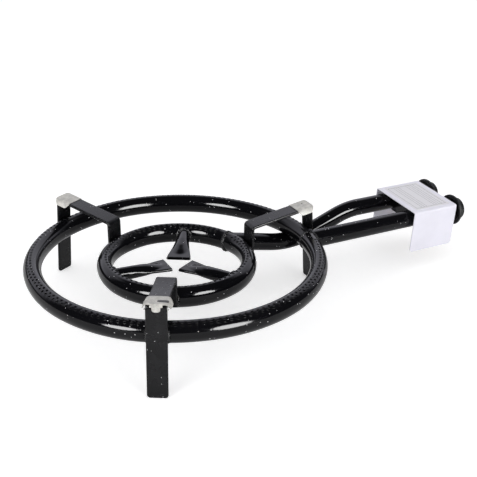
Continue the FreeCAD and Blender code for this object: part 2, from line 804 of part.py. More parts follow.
def make_spring(y):
    """Coil between the plug and the stem's collar, wound in quarter turns."""
    start_x = plug_front_x + stem_fit + spring_wire / 2
    end_x = collar_back_x - stem_fit - spring_wire / 2
    mean_r = (spring_od - spring_wire) / 2
    corner_r = mean_r * math.sqrt(2)
    corners = 4 * spring_turns
    pitch = (end_x - start_x) / spring_turns
    points = []
    for index in range(corners + 2):
        turn = math.pi / 2 * (index + 1 / 2)
        along = start_x + pitch * (index - 1 / 2) / 4
        points.append(Vector(along, y + corner_r * math.cos(turn), tap_z + corner_r * math.sin(turn)))
    path = Part.Wire(winding_path(points))
    start = (points[0] + points[1]) / 2
    profile = Part.Wire(Part.makeCircle(spring_wire / 2, start, points[1] - points[0]))
    return path.makePipeShell([profile], True, False)


def knob_profile(y):
    """Half section of a knob: skirt, tapering grip and the recess over the nut."""
    knob_r = knob_d / 2
    grip_start = knob_skirt_edge + knob_skirt_rise
    inner_r = knob_grip_d / 2 - knob_wall
    outline = [
        (0, knob_r - knob_wall), (0, knob_r), (knob_skirt_edge, knob_r), (grip_start, knob_grip_d / 2),
        (knob_length - knob_round, knob_grip_tip_d / 2), (knob_length, knob_grip_tip_d / 2 - knob_round),
        (knob_length, 0), (knob_recess, 0), (knob_recess, inner_r), (grip_start, inner_r),
        (knob_skirt_edge, knob_r - knob_wall - knob_skirt_rise),
    ]
    outline.append(outline[0])
    return [Vector(knob_back_x + along, y, tap_z + radius) for along, radius in outline]


def make_knob(y):
    """Fluted knob with a D bore."""
    face = Part.Face(Part.makePolygon(knob_profile(y)))
    knob = face.revolve(Vector(knob_back_x, y, tap_z), x_axis, 360)
    flute_start = knob_back_x + knob_skirt_edge + knob_skirt_rise
    axis_r = knob_grip_d / 2 + knob_flute_r - knob_flute_depth
    cuts = []
    for index in range(knob_flutes):
        turn = 2 * math.pi * index / knob_flutes
        cuts.append(x_rod(2 * knob_flute_r, flute_start, knob_back_x + knob_length + overrun,
                          y + axis_r * math.cos(turn), tap_z + axis_r * math.sin(turn)))
    bore_start = knob_back_x + knob_recess - overrun
    bore = x_rod(stem_d + 2 * stem_fit, bore_start, bore_start + overrun + knob_bore_depth, y, tap_z)
    flat_z = tap_z + stem_flat - stem_d / 2 + stem_fit
    flat = box(bore_start, knob_back_x + knob_length, y - stem_d, y + stem_d, flat_z, tap_z + stem_d)
    cuts.append(bore.cut(flat))
    return knob.cut(cuts)


def make_manifold():
    """Brass rail between the taps, with the block that takes the hose nozzle."""
    first_y = outer_feed_y + tap_side_boss_reach
    last_y = inner_tap_y - tap_side_boss_reach
    spigot_d = tap_side_bore - 2 * manifold_fit
    reach = manifold_spigot_length - manifold_fit
    half = manifold_block / 2
    block_front = manifold_x + half
    rail = y_rod(manifold_od, first_y, last_y, manifold_x, tap_z)
    rail = rail.fuse(y_rod(spigot_d, first_y - reach, last_y + reach, manifold_x, tap_z))
    rail = rail.fuse(box(manifold_x - half, block_front, nozzle_y - half, nozzle_y + half,
                         tap_z - half, tap_z + half))
    rail = rail.fuse(x_rod(inlet_boss_od, block_front, wall_inner_x, nozzle_y, tap_z))
    thread_start = wall_outer_x + nozzle_washer_thickness - nozzle_thread_length - manifold_fit
    cuts = [
        y_rod(manifold_bore, first_y - reach - overrun, last_y + reach + overrun, manifold_x, tap_z),
        x_rod(nozzle_bore, manifold_x, wall_inner_x, nozzle_y, tap_z),
        x_rod(nozzle_thread_d + 2 * manifold_fit, thread_start, wall_inner_x + overrun, nozzle_y, tap_z),
    ]
    return rail.cut(cuts).removeSplitter()


def make_hose_nozzle():
    """Hose nozzle: thread, hexagon and a barbed tail."""
    hex_start = wall_outer_x + nozzle_washer_thickness
    hex_end = hex_start + nozzle_hex_length
    tail_end = hex_end + nozzle_tail_length
    nozzle = x_hex(nozzle_hex, hex_start, hex_end, nozzle_y, tap_z)
    nozzle = nozzle.fuse(x_rod(nozzle_thread_d, hex_start - nozzle_thread_length, hex_start,
                               nozzle_y, tap_z))
    nozzle = nozzle.fuse(x_rod(nozzle_tail_d, hex_end, tail_end, nozzle_y, tap_z))
    for index in range(nozzle_barbs):
        end = tail_end - nozzle_barb_length * index
        barb = x_cone(nozzle_barb_d, nozzle_tail_d, end - nozzle_barb_length, end, nozzle_y, tap_z)
        nozzle = nozzle.fuse(barb)
    bore = x_rod(nozzle_bore, hex_start - nozzle_thread_length - overrun, tail_end + overrun,
                 nozzle_y, tap_z)
    return nozzle.cut(bore)


def make_nozzle_washer():
    washer_end = wall_outer_x + nozzle_washer_thickness
    washer = x_rod(nozzle_washer_od, wall_outer_x, washer_end, nozzle_y, tap_z)
    hole_d = nozzle_thread_d + 2 * tap_neck_gap
    return washer.cut(x_rod(hole_d, wall_outer_x - overrun, washer_end + overrun, nozzle_y, tap_z))


def save(name, shape):
    """Write one node's STEP file."""
    print(name, shape.ShapeType, len(shape.Solids), shape.isValid(), round(shape.Volume))
    shape.exportStep("parts/" + name + ".step")


def save_burner():
    """Rings, feed tubes and centre jets."""
    save("outer_ring", make_outer_ring())
    save("inner_ring", make_inner_ring())
    save("outer_feed_tube", make_outer_feed())
    save("inner_feed_tube", make_inner_feed())
    for number, azimuth in enumerate(jet_azimuths, 1):
        save("centre_jet_%d" % number, make_jet(azimuth))
    bead = jet_bead()
    save("jet_weld_beads", Part.makeCompound([at_azimuth(bead, azimuth) for azimuth in jet_azimuths]))


def save_supports():
    """Supports with their clips and weld beads."""
    bar = support_bar()
    beads = []
    for number, azimuth in enumerate(support_azimuths, 1):
        save("support_bar_%d" % number, at_azimuth(bar, azimuth))
        save("pan_clip_%d" % number, make_clip(azimuth))
        beads += [at_azimuth(bead, azimuth) for bead in support_beads(bar)]
    save("support_weld_beads", Part.makeCompound(beads))


def save_rolled(name, shape):
    """Write a node of the tap end, which is rolled about the outer tap's axis."""
    save(name, shape.rotated(Vector(0, outer_feed_y, tap_z), x_axis, tap_end_roll))


def save_gas_train():
    """Bracket, manifold, nozzle and the two taps."""
    save_rolled("tap_bracket", make_bracket())
    save_rolled("label_plate", make_label_plate())
    save_rolled("tube_plate", make_tube_plate())
    save_rolled("gas_manifold", make_manifold())
    save_rolled("hose_nozzle", make_hose_nozzle())
    save_rolled("nozzle_washer", make_nozzle_washer())
    for name, y, side in (("outer", outer_feed_y, 1), ("inner", inner_tap_y, -1)):
        save_rolled(name + "_tap_body", make_tap_body(y, side))
        save_rolled(name + "_injector", make_injector(y))
        save_rolled(name + "_tap_plug", make_plug(y, side))
        save_rolled(name + "_tap_stem", make_stem(y))
        save_rolled(name + "_return_spring", make_spring(y))
        save_rolled(name + "_bonnet_nut", make_bonnet_nut(y))
        save_rolled(name + "_knob", make_knob(y))


os.makedirs("parts", exist_ok=True)
save_burner()
save_supports()
save_gas_train()
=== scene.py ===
"""Dresses the paella burner: rings, jets, pan supports, clips, welds, bracket, taps and knobs."""

import json
import math

import bpy
import numpy as np
from mathutils import Matrix, Vector


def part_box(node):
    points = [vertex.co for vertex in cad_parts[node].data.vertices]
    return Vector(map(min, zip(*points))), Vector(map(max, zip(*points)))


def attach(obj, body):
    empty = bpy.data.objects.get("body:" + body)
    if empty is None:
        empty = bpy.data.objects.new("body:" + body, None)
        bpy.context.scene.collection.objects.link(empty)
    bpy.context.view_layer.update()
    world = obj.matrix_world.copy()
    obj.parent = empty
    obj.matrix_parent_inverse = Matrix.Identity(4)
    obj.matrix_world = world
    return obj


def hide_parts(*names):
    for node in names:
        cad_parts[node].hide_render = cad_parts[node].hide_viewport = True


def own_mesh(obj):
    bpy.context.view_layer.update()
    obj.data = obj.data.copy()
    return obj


bl_info = {
    "name": "Paella Burner",
    "version": (1, 0, 0),
    "blender": (4, 5, 0),
    "location": "View3D > Sidebar > Burner",
    "description": "Dresses the ring burner's frame with enamel, steel, paint and brass",
    "category": "Object",
}

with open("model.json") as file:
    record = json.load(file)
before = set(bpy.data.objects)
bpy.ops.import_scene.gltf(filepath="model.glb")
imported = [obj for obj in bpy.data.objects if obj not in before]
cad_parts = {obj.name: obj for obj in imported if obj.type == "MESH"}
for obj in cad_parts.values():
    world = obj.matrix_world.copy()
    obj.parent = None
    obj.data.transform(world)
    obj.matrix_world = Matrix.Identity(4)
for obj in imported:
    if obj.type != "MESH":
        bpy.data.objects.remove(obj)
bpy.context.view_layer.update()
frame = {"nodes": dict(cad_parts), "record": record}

MM = 0.001


def node_span(node, axis):
    """Lowest and highest coordinate of a frame node along one axis."""
    low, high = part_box(node)
    return low[axis], high[axis]


def ring_default(node):
    """Outside radius, level and half height of a ring, read from the frame."""
    low, high = node_span(node, 2)
    return node_span(node, 0)[1], (low + high) / 2, (high - low) / 2


OUTER_R, OUTER_LEVEL, OUTER_HALF_HEIGHT = ring_default("outer_ring")
INNER_R, INNER_LEVEL, INNER_HALF_HEIGHT = ring_default("inner_ring")


def length_property(name, default, description):
    """A length, shown to a tenth of a millimetre."""
    return bpy.props.FloatProperty(name=name, default=default, description=description, unit="LENGTH",
                                   precision=4)


def angle_property(name, degrees, description):
    """An angle, given in degrees and kept in radians."""
    return bpy.props.FloatProperty(name=name, default=math.radians(degrees), description=description,
                                   unit="ROTATION")


def colour_property(name, default, description):
    """A linear colour without transparency."""
    return bpy.props.FloatVectorProperty(name=name, default=default, description=description,
                                         subtype="COLOR", size=3, min=0, max=1)


class BurnerSizes(bpy.types.PropertyGroup):
    """Sizes of the burner's pieces."""
    outer_radius: length_property("Outer ring radius", OUTER_R, "Outside radius of the outer ring")
    outer_level: length_property("Outer ring level", OUTER_LEVEL, "Height of its centre line")
    outer_width: length_property("Outer tube width", 23.2 * MM, "Width of the outer ring's oval tube")
    outer_half_height: length_property("Outer tube half height", OUTER_HALF_HEIGHT, "Half of its height")
    inner_radius: length_property("Inner ring radius", INNER_R, "Outside radius of the inner ring")
    inner_level: length_property("Inner ring level", INNER_LEVEL, "Height of its centre line")
    inner_width: length_property("Inner tube width", 21.2 * MM, "Width of the inner ring's oval tube")
    inner_half_height: length_property("Inner tube half height", INNER_HALF_HEIGHT, "Half of its height")
    port_radius: length_property("Port radius", 1.4 * MM, "Radius of a gas port")
    port_pitch: length_property("Port pitch", 8 * MM, "Distance between the ports of one row")
    port_lip: length_property("Port lip", 0.22 * MM, "How far the enamel swells round a port")
    tube_radius: length_property("Feed tube radius", 12.5 * MM, "Outside radius of the feed tubes")
    tube_wall: length_property("Feed tube wall", 1.5 * MM, "Wall of the feed tubes")
    jet_radius: length_property("Jet radius", 9 * MM, "Radius of a jet's round root")
    jet_tip_half: length_property("Jet tip half width", 16.5 * MM, "Half width of a jet's flat tip")
    jet_tip_reach: length_property("Jet tip distance", 14 * MM, "Distance of a jet's tip from the axis")
    jet_wall: length_property("Jet wall", 1.2 * MM, "Wall of the jets")
    bar_half_width: length_property("Bar half width", 12.5 * MM, "Half width of a support's flat bar")
    bar_half_thickness: length_property("Bar half thickness", 2 * MM, "Half thickness of the bar")
    rest_height: length_property("Rest height", 117.5 * MM, "Height of the arms' outer corners")
    arm_rise: angle_property("Arm rise", 8.8, "How far the arms rise outwards")
    leg_splay: angle_property("Leg splay", 4.3, "How far the legs lean outwards")
    clip_sheet: length_property("Clip sheet", 1 * MM, "Thickness of the clips")
    clip_length: length_property("Clip length", 24 * MM, "Length of a clip's cap along the arm")
    clip_half_width: length_property("Clip half width", 16.6 * MM, "Half width across a clip's skirts")
    knob_length: length_property("Knob length", 15 * MM, "Length of a knob along its axis")
    bead_radius: length_property("Bead radius", 2.2 * MM, "Radius of the weld beads")


class BurnerFinishes(bpy.types.PropertyGroup):
    """Colours of the burner's finishes."""
    enamel: colour_property("Enamel", (0.003, 0.003, 0.0038), "Black glass enamel")
    satin: colour_property("Satin enamel", (0.0035, 0.0035, 0.004), "Enamel of the pan supports")
    speck: colour_property("Speck", (0.85, 0.85, 0.86), "Dust specks fired into the enamel")
    clip_light: colour_property("Clip light", (0.61, 0.595, 0.56), "Lighter tone of the clip steel")
    clip_dark: colour_property("Clip dark", (0.43, 0.42, 0.395), "Darker tone of the clip steel")
    paint: colour_property("Paint", (0.81, 0.80, 0.88), "White paint of the bracket")
    label: colour_property("Label", (0.76, 0.75, 0.78), "Bare label plate")
    brass: colour_property("Brass", (0.74, 0.52, 0.22), "Taps, manifold and hose nozzle")
    zinc: colour_property("Zinc", (0.62, 0.63, 0.64), "Washer and bonnet nuts")
    spring: colour_property("Spring steel", (0.42, 0.42, 0.43), "Return springs")
    plastic: colour_property("Plastic", (0.006, 0.006, 0.0065), "Black plastic of the knobs")
    floor: colour_property("Floor", (0.88, 0.88, 0.88), "Studio floor")


def sizes():
    """The scene's sizes, which the panel shows."""
    return bpy.context.scene.burner_sizes


def finishes():
    """The scene's finishes, which the panel shows."""
    return bpy.context.scene.burner_finishes


# Surfaces

class Skin:
    """Points of a surface and its faces, which are kept by their number of corners."""

    def __init__(self, points, *faces):
        self.points = np.asarray(points, float).reshape(-1, 3)
        self.faces = [np.asarray(part) for part in faces if len(part)]

    def volume(self):
        """Signed volume: a sixth of the triple product of each triangle, added up."""
        total = 0.0
        for part in self.faces:
            first = self.points[part[:, 0]]
            for second, third in zip(part.T[1:], part.T[2:]):
                total += np.einsum("ij,ij->", first, np.cross(self.points[second], self.points[third]))
        return total / 6

    def outwards(self):
        """The same skin with its faces turned outwards."""
        if self.volume() < 0:
            self.faces = [part[:, ::-1] for part in self.faces]
        return self

    def turned(self, azimuth):
        """The skin turned about the rings' axis."""
        turn = np.array([[math.cos(azimuth), -math.sin(azimuth), 0],
                         [math.sin(azimuth), math.cos(azimuth), 0], [0, 0, 1]])
        return Skin(self.points @ turn.T, *self.faces)


def joined(skins):
    """One skin of many, the faces of each counted on from the points before."""
    points, faces, first = [], [], 0
    for skin in skins:
        points.append(skin.points)
        faces += [part + first for part in skin.faces]
        first += len(skin.points)
    return Skin(np.concatenate(points), *faces)


def quads(index):
    """Faces between the neighbours of an index grid."""
    corners = [index[:-1, :-1], index[1:, :-1], index[1:, 1:], index[:-1, 1:]]
    return np.stack(corners, axis=-1).reshape(-1, 4)


def tube_skin(points, closed_run=False):
    """Skin over stations of closed sections: a grid that wraps round each section, with flat ends
    unless the run itself closes."""
    stations, around = points.shape[:2]
    index = np.arange(stations * around).reshape(stations, around)
    index = np.hstack([index, index[:, :1]])
    if closed_run:
        return Skin(points, quads(np.vstack([index, index[:1]]))).outwards()
    return Skin(points, quads(index), index[:1, :-1], index[-1:, -2::-1]).outwards()


def grid_normals(points):
    """Unit normals of a grid: the cross product of its differences both ways."""
    along = np.gradient(points, axis=0)
    across = np.gradient(points, axis=1)
    normals = np.cross(along, across)
    return normals / np.maximum(np.linalg.norm(normals, axis=-1, keepdims=True), 1e-12)


def sheet_skin(points, thickness):
    """A sheet with thickness: a grid moved half the thickness to both sides along its normals, with
    a wall round its edge."""
    rows, columns = points.shape[:2]
    normals = grid_normals(points) * thickness / 2
    count = rows * columns
    top = np.arange(count).reshape(rows, columns)
    low = top + count
    edge = np.concatenate([top[:-1, 0], top[-1, :-1], top[:0:-1, -1], top[0, :0:-1]])
    after = np.roll(edge, -1)
    wall = np.stack([after, edge, edge + count, after + count], axis=-1)
    sides = [(points + normals).reshape(-1, 3), (points - normals).reshape(-1, 3)]
    return Skin(np.concatenate(sides), quads(top), quads(low)[:, ::-1], wall).outwards()


def rounded_route(corners, radii, arc_steps=9):
    """Stations and headings of a route in the XZ plane: straight runs joined by arcs. Along an arc the
    heading turns evenly, and the place is the start plus the radius times the change of the heading's
    sine and minus its cosine."""
    corners = np.asarray(corners, float)
    stations, headings = [corners[:1]], []
    for before, corner, after, radius in zip(corners, corners[1:], corners[2:], radii):
        into = math.atan2(*(corner - before)[::-1])
        out = math.atan2(*(after - corner)[::-1])
        turn = (out - into + math.pi) % (2 * math.pi) - math.pi
        heading = into + turn * np.linspace(0, 1, arc_steps)
        start = corner - radius * math.tan(abs(turn) / 2) * np.array([math.cos(into), math.sin(into)])
        arc = np.stack([np.sin(heading) - math.sin(into), math.cos(into) - np.cos(heading)], axis=-1)
        stations.append(start + math.copysign(radius, turn) * arc)
        headings += [[into] if not headings else [], heading]
    stations.append(corners[-1:])
    headings.append([headings[-1][-1]])
    return np.concatenate(stations), np.concatenate(headings)


def along_route(stations, headings, sections):
    """A section carried along a route in the XZ plane: its first part goes along Y and its second
    to the left of the heading."""
    left = np.stack([-np.sin(headings), np.cos(headings)], axis=-1)
    sections = np.broadcast_to(sections, (len(stations),) + np.shape(sections)[-2:])
    flat = stations[:, None] + sections[..., 1:] * left[:, None]
    return np.stack([flat[..., 0], sections[..., 0], flat[..., 1]], axis=-1)


def circle(radius, steps):
    """Points of a circle, given by the cosine and sine of even turns."""
    turn = np.linspace(0, 2 * math.pi, steps, endpoint=False)
    return radius * np.stack([np.cos(turn), np.sin(turn)], axis=-1)


def rounded_rectangle(half_width, half_height, radius, near=0.5 * MM):
    """Outline of a bar: four quarter circles, with a point close to each end of the flats so that
    these stay flat in smooth shading."""
    turn = np.linspace(0, math.pi / 2, 6)
    arc = radius * np.stack([np.cos(turn), np.sin(turn)], axis=-1)
    arc = np.concatenate([arc[:1] - [0, near], arc, arc[-1:] - [near, 0]])
    inner = np.array([half_width - radius, half_height - radius])
    parts = [arc + inner, (arc * [-1, 1] + inner * [-1, 1])[::-1], -arc - inner,
             (arc * [1, -1] + inner * [1, -1])[::-1]]
    return np.concatenate(parts)


class Ring:
    """A ring of oval tube: centre radius, level and the oval's half width and half height."""

    def __init__(self, outside, level, width, half_height):
        self.half_width = width / 2
        self.half_height = half_height
        self.outside = outside
        self.radius = outside - self.half_width
        self.inside = self.radius - self.half_width
        self.level = level

    def place(self, azimuth, turn):
        """Place on the tube at a turn round its oval: the radius is the centre radius plus the half
        width times the cosine, the height the level plus the half height times the sine."""
        azimuth, turn = np.broadcast_arrays(azimuth, turn)
        reach = self.radius + self.half_width * np.cos(turn)
        height = self.level + self.half_height * np.sin(turn)
        return np.stack([reach * np.cos(azimuth), reach * np.sin(azimuth), height], axis=-1)

    def normal(self, azimuth, turn):
        """Outward normal: the gradient of the oval's equation."""
        azimuth, turn = np.broadcast_arrays(azimuth, turn)
        side = np.cos(turn) / self.half_width
        rise = np.sin(turn) / self.half_height
        size = np.hypot(side, rise)
        side, rise = side / size, rise / size
        return np.stack([side * np.cos(azimuth), side * np.sin(azimuth), rise], axis=-1)

    def exit_along(self, points, direction, reach):
        """Where lines from inside the tube leave its oval, by halving the stretch 30 times."""
        low = np.zeros(len(points))
        high = np.full(len(points), reach)
        for _ in range(30):
            middle = (low + high) / 2
            x, y, z = (points + middle[:, None] * direction).T
            side = (np.hypot(x, y) - self.radius) / self.half_width
            inside = side ** 2 + ((z - self.level) / self.half_height) ** 2 < 1
            low = np.where(inside, middle, low)
            high = np.where(inside, high, middle)
        return points + low[:, None] * direction

    def outward_at(self, points):
        """Outward normals at places on the tube."""
        x, y, z = points.T
        azimuth = np.arctan2(y, x)
        turn = np.arctan2((z - self.level) / self.half_height,
                          (np.hypot(x, y) - self.radius) / self.half_width)
        return self.normal(azimuth, turn)


def outer_ring():
    """The outer ring at the scene's sizes."""
    size = sizes()
    return Ring(size.outer_radius, size.outer_level, size.outer_width, size.outer_half_height)


def inner_ring():
    """The inner ring at the scene's sizes."""
    size = sizes()
    return Ring(size.inner_radius, size.inner_level, size.inner_width, size.inner_half_height)


PORT_SIDES = 12
PORT_CELL_HALF = 1.9 * MM
SECTOR_PITCHES = 4
JOINT_STATIONS = 12
PLAIN_TURNS = 24
# Circles from the cell to the lip's root: reach past the port's radius, and height in lips
PORT_LIP = ((0.34 * MM, 0.2), (0.2 * MM, 1.0), (0.06 * MM, 0.7))
# Circles down the port: reach short of its radius, and depth
PORT_WALL = ((0.06 * MM, 0.12 * MM), (0.1 * MM, 1.8 * MM))


def ported_skin(ring, rows, joint_azimuth, joint_span):
    """Skin of a ring with two staggered rows of gas ports. It is a grid over the azimuth and the turn
    round the oval, with a square cell at each port. The cell is a fan from its corners to a circle,
    then circles that swell into a lip, sink into the port and close at its bottom."""
    size = sizes()
    joint_sweep = joint_span / ring.radius
    sectors = round((2 * math.pi * ring.radius - joint_span) / (SECTOR_PITCHES * size.port_pitch))
    count = 2 * SECTOR_PITCHES * sectors
    half_step = (2 * math.pi - joint_sweep) / count
    first = joint_azimuth + joint_sweep / 2
    centres = first + half_step * (np.arange(count) + 0.5)
    cell_sweep = PORT_CELL_HALF / ring.radius
    pairs = np.stack([centres - cell_sweep, centres + cell_sweep], axis=-1).ravel()
    joint = first + 2 * math.pi - joint_sweep * np.linspace(1, 0, JOINT_STATIONS)
    azimuths = np.concatenate([pairs, joint])

    ordered = sorted(rows, reverse=True)
    row_turns = np.arccos(np.array(ordered) / ring.half_width)
    speed = np.hypot(ring.half_width * np.sin(row_turns), ring.half_height * np.cos(row_turns))
    cell_turn = PORT_CELL_HALF / speed
    edges = np.stack([row_turns - cell_turn, row_turns + cell_turn], axis=-1).ravel()
    plain = np.linspace(edges[-1], edges[0] + 2 * math.pi, PLAIN_TURNS)[1:-1]
    turns = np.concatenate([edges, plain])

    points = ring.place(azimuths[:, None], turns[None, :])
    index = np.arange(points.shape[0] * points.shape[1]).reshape(points.shape[:2])
    wrapped = np.hstack([index, index[:, :1]])
    wrapped = np.vstack([wrapped, wrapped[:1]])
    keep = np.ones(index.shape, bool)
    steps = np.arange(count)
    row_cells = np.where(steps % 2 == 0, 2 * ordered.index(rows[0]), 2 * ordered.index(rows[1]))
    keep[2 * steps, row_cells] = False
    faces = [quads(wrapped)[keep.ravel()]]

    turn0 = row_turns[row_cells // 2]
    speed0 = speed[row_cells // 2]
    angle = np.linspace(0, 2 * math.pi, PORT_SIDES, endpoint=False)
    normal = ring.normal(centres, turn0)
    radius = size.port_radius
    levels = [(radius + past, share * size.port_lip) for past, share in PORT_LIP]
    levels += [(radius - short, -depth) for short, depth in PORT_WALL]
    circles = []
    for reach, height in levels:
        azimuth = centres[:, None] + reach * np.cos(angle) / ring.radius
        turn = turn0[:, None] + reach * np.sin(angle) / speed0[:, None]
        circles.append(ring.place(azimuth, turn) + height * normal[:, None])
    circles = np.stack(circles, axis=1)
    base = points.shape[0] * points.shape[1]
    rim = base + np.arange(circles[..., 0].size).reshape(circles.shape[:3])

    corners = np.stack([wrapped[2 * steps + 1, row_cells + 1], wrapped[2 * steps, row_cells + 1],
                        wrapped[2 * steps, row_cells], wrapped[2 * steps + 1, row_cells]], axis=-1)
    edge = rim[:, 0]
    for side in range(4):
        here, after = corners[:, side], corners[:, (side + 1) % 4]
        one, two, three, four = (edge[:, (3 * side + step) % PORT_SIDES] for step in (1, 2, 3, 4))
        for fan in ((here, two, one), (here, three, two), (here, after, three), (after, four, three)):
            faces.append(np.stack(fan, axis=-1))
    beside = np.roll(rim, -1, axis=2)
    walls = np.stack([rim[:, :-1], beside[:, :-1], beside[:, 1:], rim[:, 1:]], axis=-1)
    faces += [walls.reshape(-1, 4), rim[:, -1]]
    return Skin(uneven(np.concatenate([points.reshape(-1, 3), circles.reshape(-1, 3)])), *faces).outwards()


UNEVEN_RADIUS = 150 * MM


def uneven(points):
    """The slight unevenness of a hand-bent ring: each place moves out and up by a quarter of a
    millimetre at most, as sines of a few turns of its azimuth."""
    azimuth = np.arctan2(points[:, 1], points[:, 0])
    out = 1 + (0.10 * np.sin(5 * azimuth + 0.7) + 0.06 * np.sin(11 * azimuth + 2)) * MM / UNEVEN_RADIUS
    up = (0.14 * np.sin(4 * azimuth + 1.9) + 0.08 * np.sin(9 * azimuth)) * MM
    return np.column_stack([points[:, 0] * out, points[:, 1] * out, points[:, 2] + up])


PUDDLE_LENGTH = 2.6 * MM
BEAD_SIDES = 14
BEAD_HEIGHT_SHARE = 0.8


def bead_skin(path, outward, radius, closed=False, seed=0):
    """A weld bead: circles along a path, whose radius ripples as the puddles froze and closes at the
    ends of an open path. The circles stand on the path's heading and on the outward direction."""
    heading = np.roll(path, -1, axis=0) - np.roll(path, 1, axis=0) if closed else np.gradient(path, axis=0)
    heading /= np.linalg.norm(heading, axis=-1, keepdims=True)
    outward = outward - heading * np.sum(outward * heading, axis=-1, keepdims=True)
    outward /= np.linalg.norm(outward, axis=-1, keepdims=True)
    side = np.cross(heading, outward)
    share = np.linspace(0, 1, len(path), endpoint=not closed)
    cycles = 2 * math.pi * share
    length = np.linalg.norm(np.diff(path, axis=0), axis=-1).sum()
    puddles = max(3, round(length / PUDDLE_LENGTH))
    swell = 1 + 0.14 * np.sin(puddles * cycles + seed) + 0.10 * np.sin(3 * cycles + 2 * seed + 1)
    if not closed:
        swell = swell * np.sqrt(np.clip(1 - (2 * share - 1) ** 6, 0.0025, 1))
    ring = circle(1, BEAD_SIDES)
    across = (ring[None, :, :1] * side[:, None]
              + BEAD_HEIGHT_SHARE * ring[None, :, 1:] * outward[:, None])
    return tube_skin(path[:, None] + radius * swell[:, None, None] * across, closed)


# Finishes

class Value:
    """A node's output. Arithmetic and comparison on it add Math nodes."""

    def __init__(self, finish, socket):
        self.finish = finish
        self.socket = socket

    def math(self, operation, first, second):
        """Output of a Math node."""
        return self.finish.node("ShaderNodeMath", {"operation": operation}, {0: first, 1: second})

    def __add__(self, other):
        return self.math("ADD", self, other)

    __radd__ = __add__

    def __sub__(self, other):
        return self.math("SUBTRACT", self, other)

    def __rsub__(self, other):
        return self.math("SUBTRACT", other, self)

    def __mul__(self, other):
        return self.math("MULTIPLY", self, other)

    def __truediv__(self, other):
        return self.math("DIVIDE", self, other)

    def __abs__(self):
        return self.math("ABSOLUTE", self, 0.0)

    def __lt__(self, other):
        return self.math("LESS_THAN", self, other)

    def __gt__(self, other):
        return self.math("GREATER_THAN", self, other)

    def eased(self, low, high):
        """0 below low, 1 above high and a smooth step between."""
        return self.finish.node("ShaderNodeMapRange", {"interpolation_type": "SMOOTHSTEP"},
                                {"Value": self, "From Min": low, "From Max": high})


class Finish:
    """A node tree being built: a material's or the world's."""

    def __init__(self, tree):
        self.tree = tree

    def node(self, kind, settings=None, inputs=None, output=0):
        """Adds a node: first its settings, then its sockets' values or links. Gives the chosen
        output."""
        node = self.tree.nodes.new(kind)
        for key, value in (settings or {}).items():
            setattr(node, key, value)
        for key, value in (inputs or {}).items():
            self.feed(node.inputs[key], value)
        return Value(self, node.outputs[output])

    def feed(self, socket, value):
        """Links a value's output to a socket, or sets the socket's own value."""
        if isinstance(value, Value):
            self.tree.links.new(value.socket, socket)
        else:
            socket.default_value = value

    def mix(self, factor, first, second):
        """Colour between two colours."""
        return self.node("ShaderNodeMix", {"data_type": "RGBA"}, {0: factor, 6: first, 7: second}, 2)

    def place(self):
        """Object coordinates, which are the frame's own."""
        return self.node("ShaderNodeTexCoord", output="Object")

    def noise(self, scale, detail=2.0, place=None):
        """Noise with so many waves to the metre."""
        return self.node("ShaderNodeTexNoise", None,
                         {"Vector": place or self.place(), "Scale": scale, "Detail": detail})

    def bump(self, height, depth):
        """Normal of a surface raised by the height times the depth."""
        return self.node("ShaderNodeBump", None, {"Height": height, "Distance": depth})


def rgba(colour):
    """The colour, opaque."""
    return tuple(colour) + (1.0,)


def new_material(name, constants):
    """A material whose principled shader has the given constants on its own sockets."""
    material = bpy.data.materials.new(name)
    material.use_nodes = True
    shader = material.node_tree.nodes["Principled BSDF"]
    for key, value in constants.items():
        shader.inputs[key].default_value = value
    return material, Finish(material.node_tree), shader.inputs


def specks(finish, cells, size, share):
    """Mask of small round specks: the middle of a share of random cells."""
    settings = {"feature": "F1"}
    inputs = {"Vector": finish.place(), "Scale": cells}
    distance = finish.node("ShaderNodeTexVoronoi", settings, inputs, "Distance")
    colour = finish.node("ShaderNodeTexVoronoi", settings, inputs, "Color")
    chance = finish.node("ShaderNodeSeparateColor", None, {"Color": colour}, "Red")
    return (distance < size) * (chance > 1 - share)


def enamel_material():
    """Black glass enamel: orange peel, faint haze and a few fired-in specks."""
    colours = finishes()
    material, finish, sockets = new_material("black_enamel", {"IOR": 1.34})
    speck = specks(finish, 210, 0.1, 0.42)
    haze = finish.noise(45, 3)
    finish.feed(sockets["Base Color"], finish.mix(speck, rgba(colours.enamel), rgba(colours.speck)))
    finish.feed(sockets["Roughness"], 0.06 + haze * 0.08)
    peel = finish.noise(230, 2) + finish.noise(700, 1) * 0.25
    finish.feed(sockets["Normal"], finish.bump(peel, 0.00003))
    return material


def satin_material():
    """Enamel of the supports: duller, with soft rub marks and specks."""
    colours = finishes()
    material, finish, sockets = new_material("satin_enamel", {"IOR": 1.36})
    cloud = finish.noise(60, 4)
    tone = finish.mix(cloud.eased(0.3, 0.75), rgba(colours.satin), rgba([c * 1.9 for c in colours.satin]))
    finish.feed(sockets["Base Color"], finish.mix(specks(finish, 260, 0.1, 0.2), tone, rgba(colours.speck)))
    finish.feed(sockets["Roughness"], 0.20 + cloud * 0.14)
    finish.feed(sockets["Normal"], finish.bump(finish.noise(420, 3), 0.0001))
    return material


def weld_material():
    """Enamel over weld beads, lumpy and glossy."""
    colours = finishes()
    material, finish, sockets = new_material("weld_enamel", {"IOR": 1.4})
    lump = finish.noise(520, 3)
    finish.feed(sockets["Base Color"], finish.mix(specks(finish, 330, 0.13, 0.3), rgba(colours.enamel),
                                                  rgba(colours.speck)))
    finish.feed(sockets["Roughness"], 0.10 + lump * 0.2)
    finish.feed(sockets["Normal"], finish.bump(lump, 0.0008))
    return material


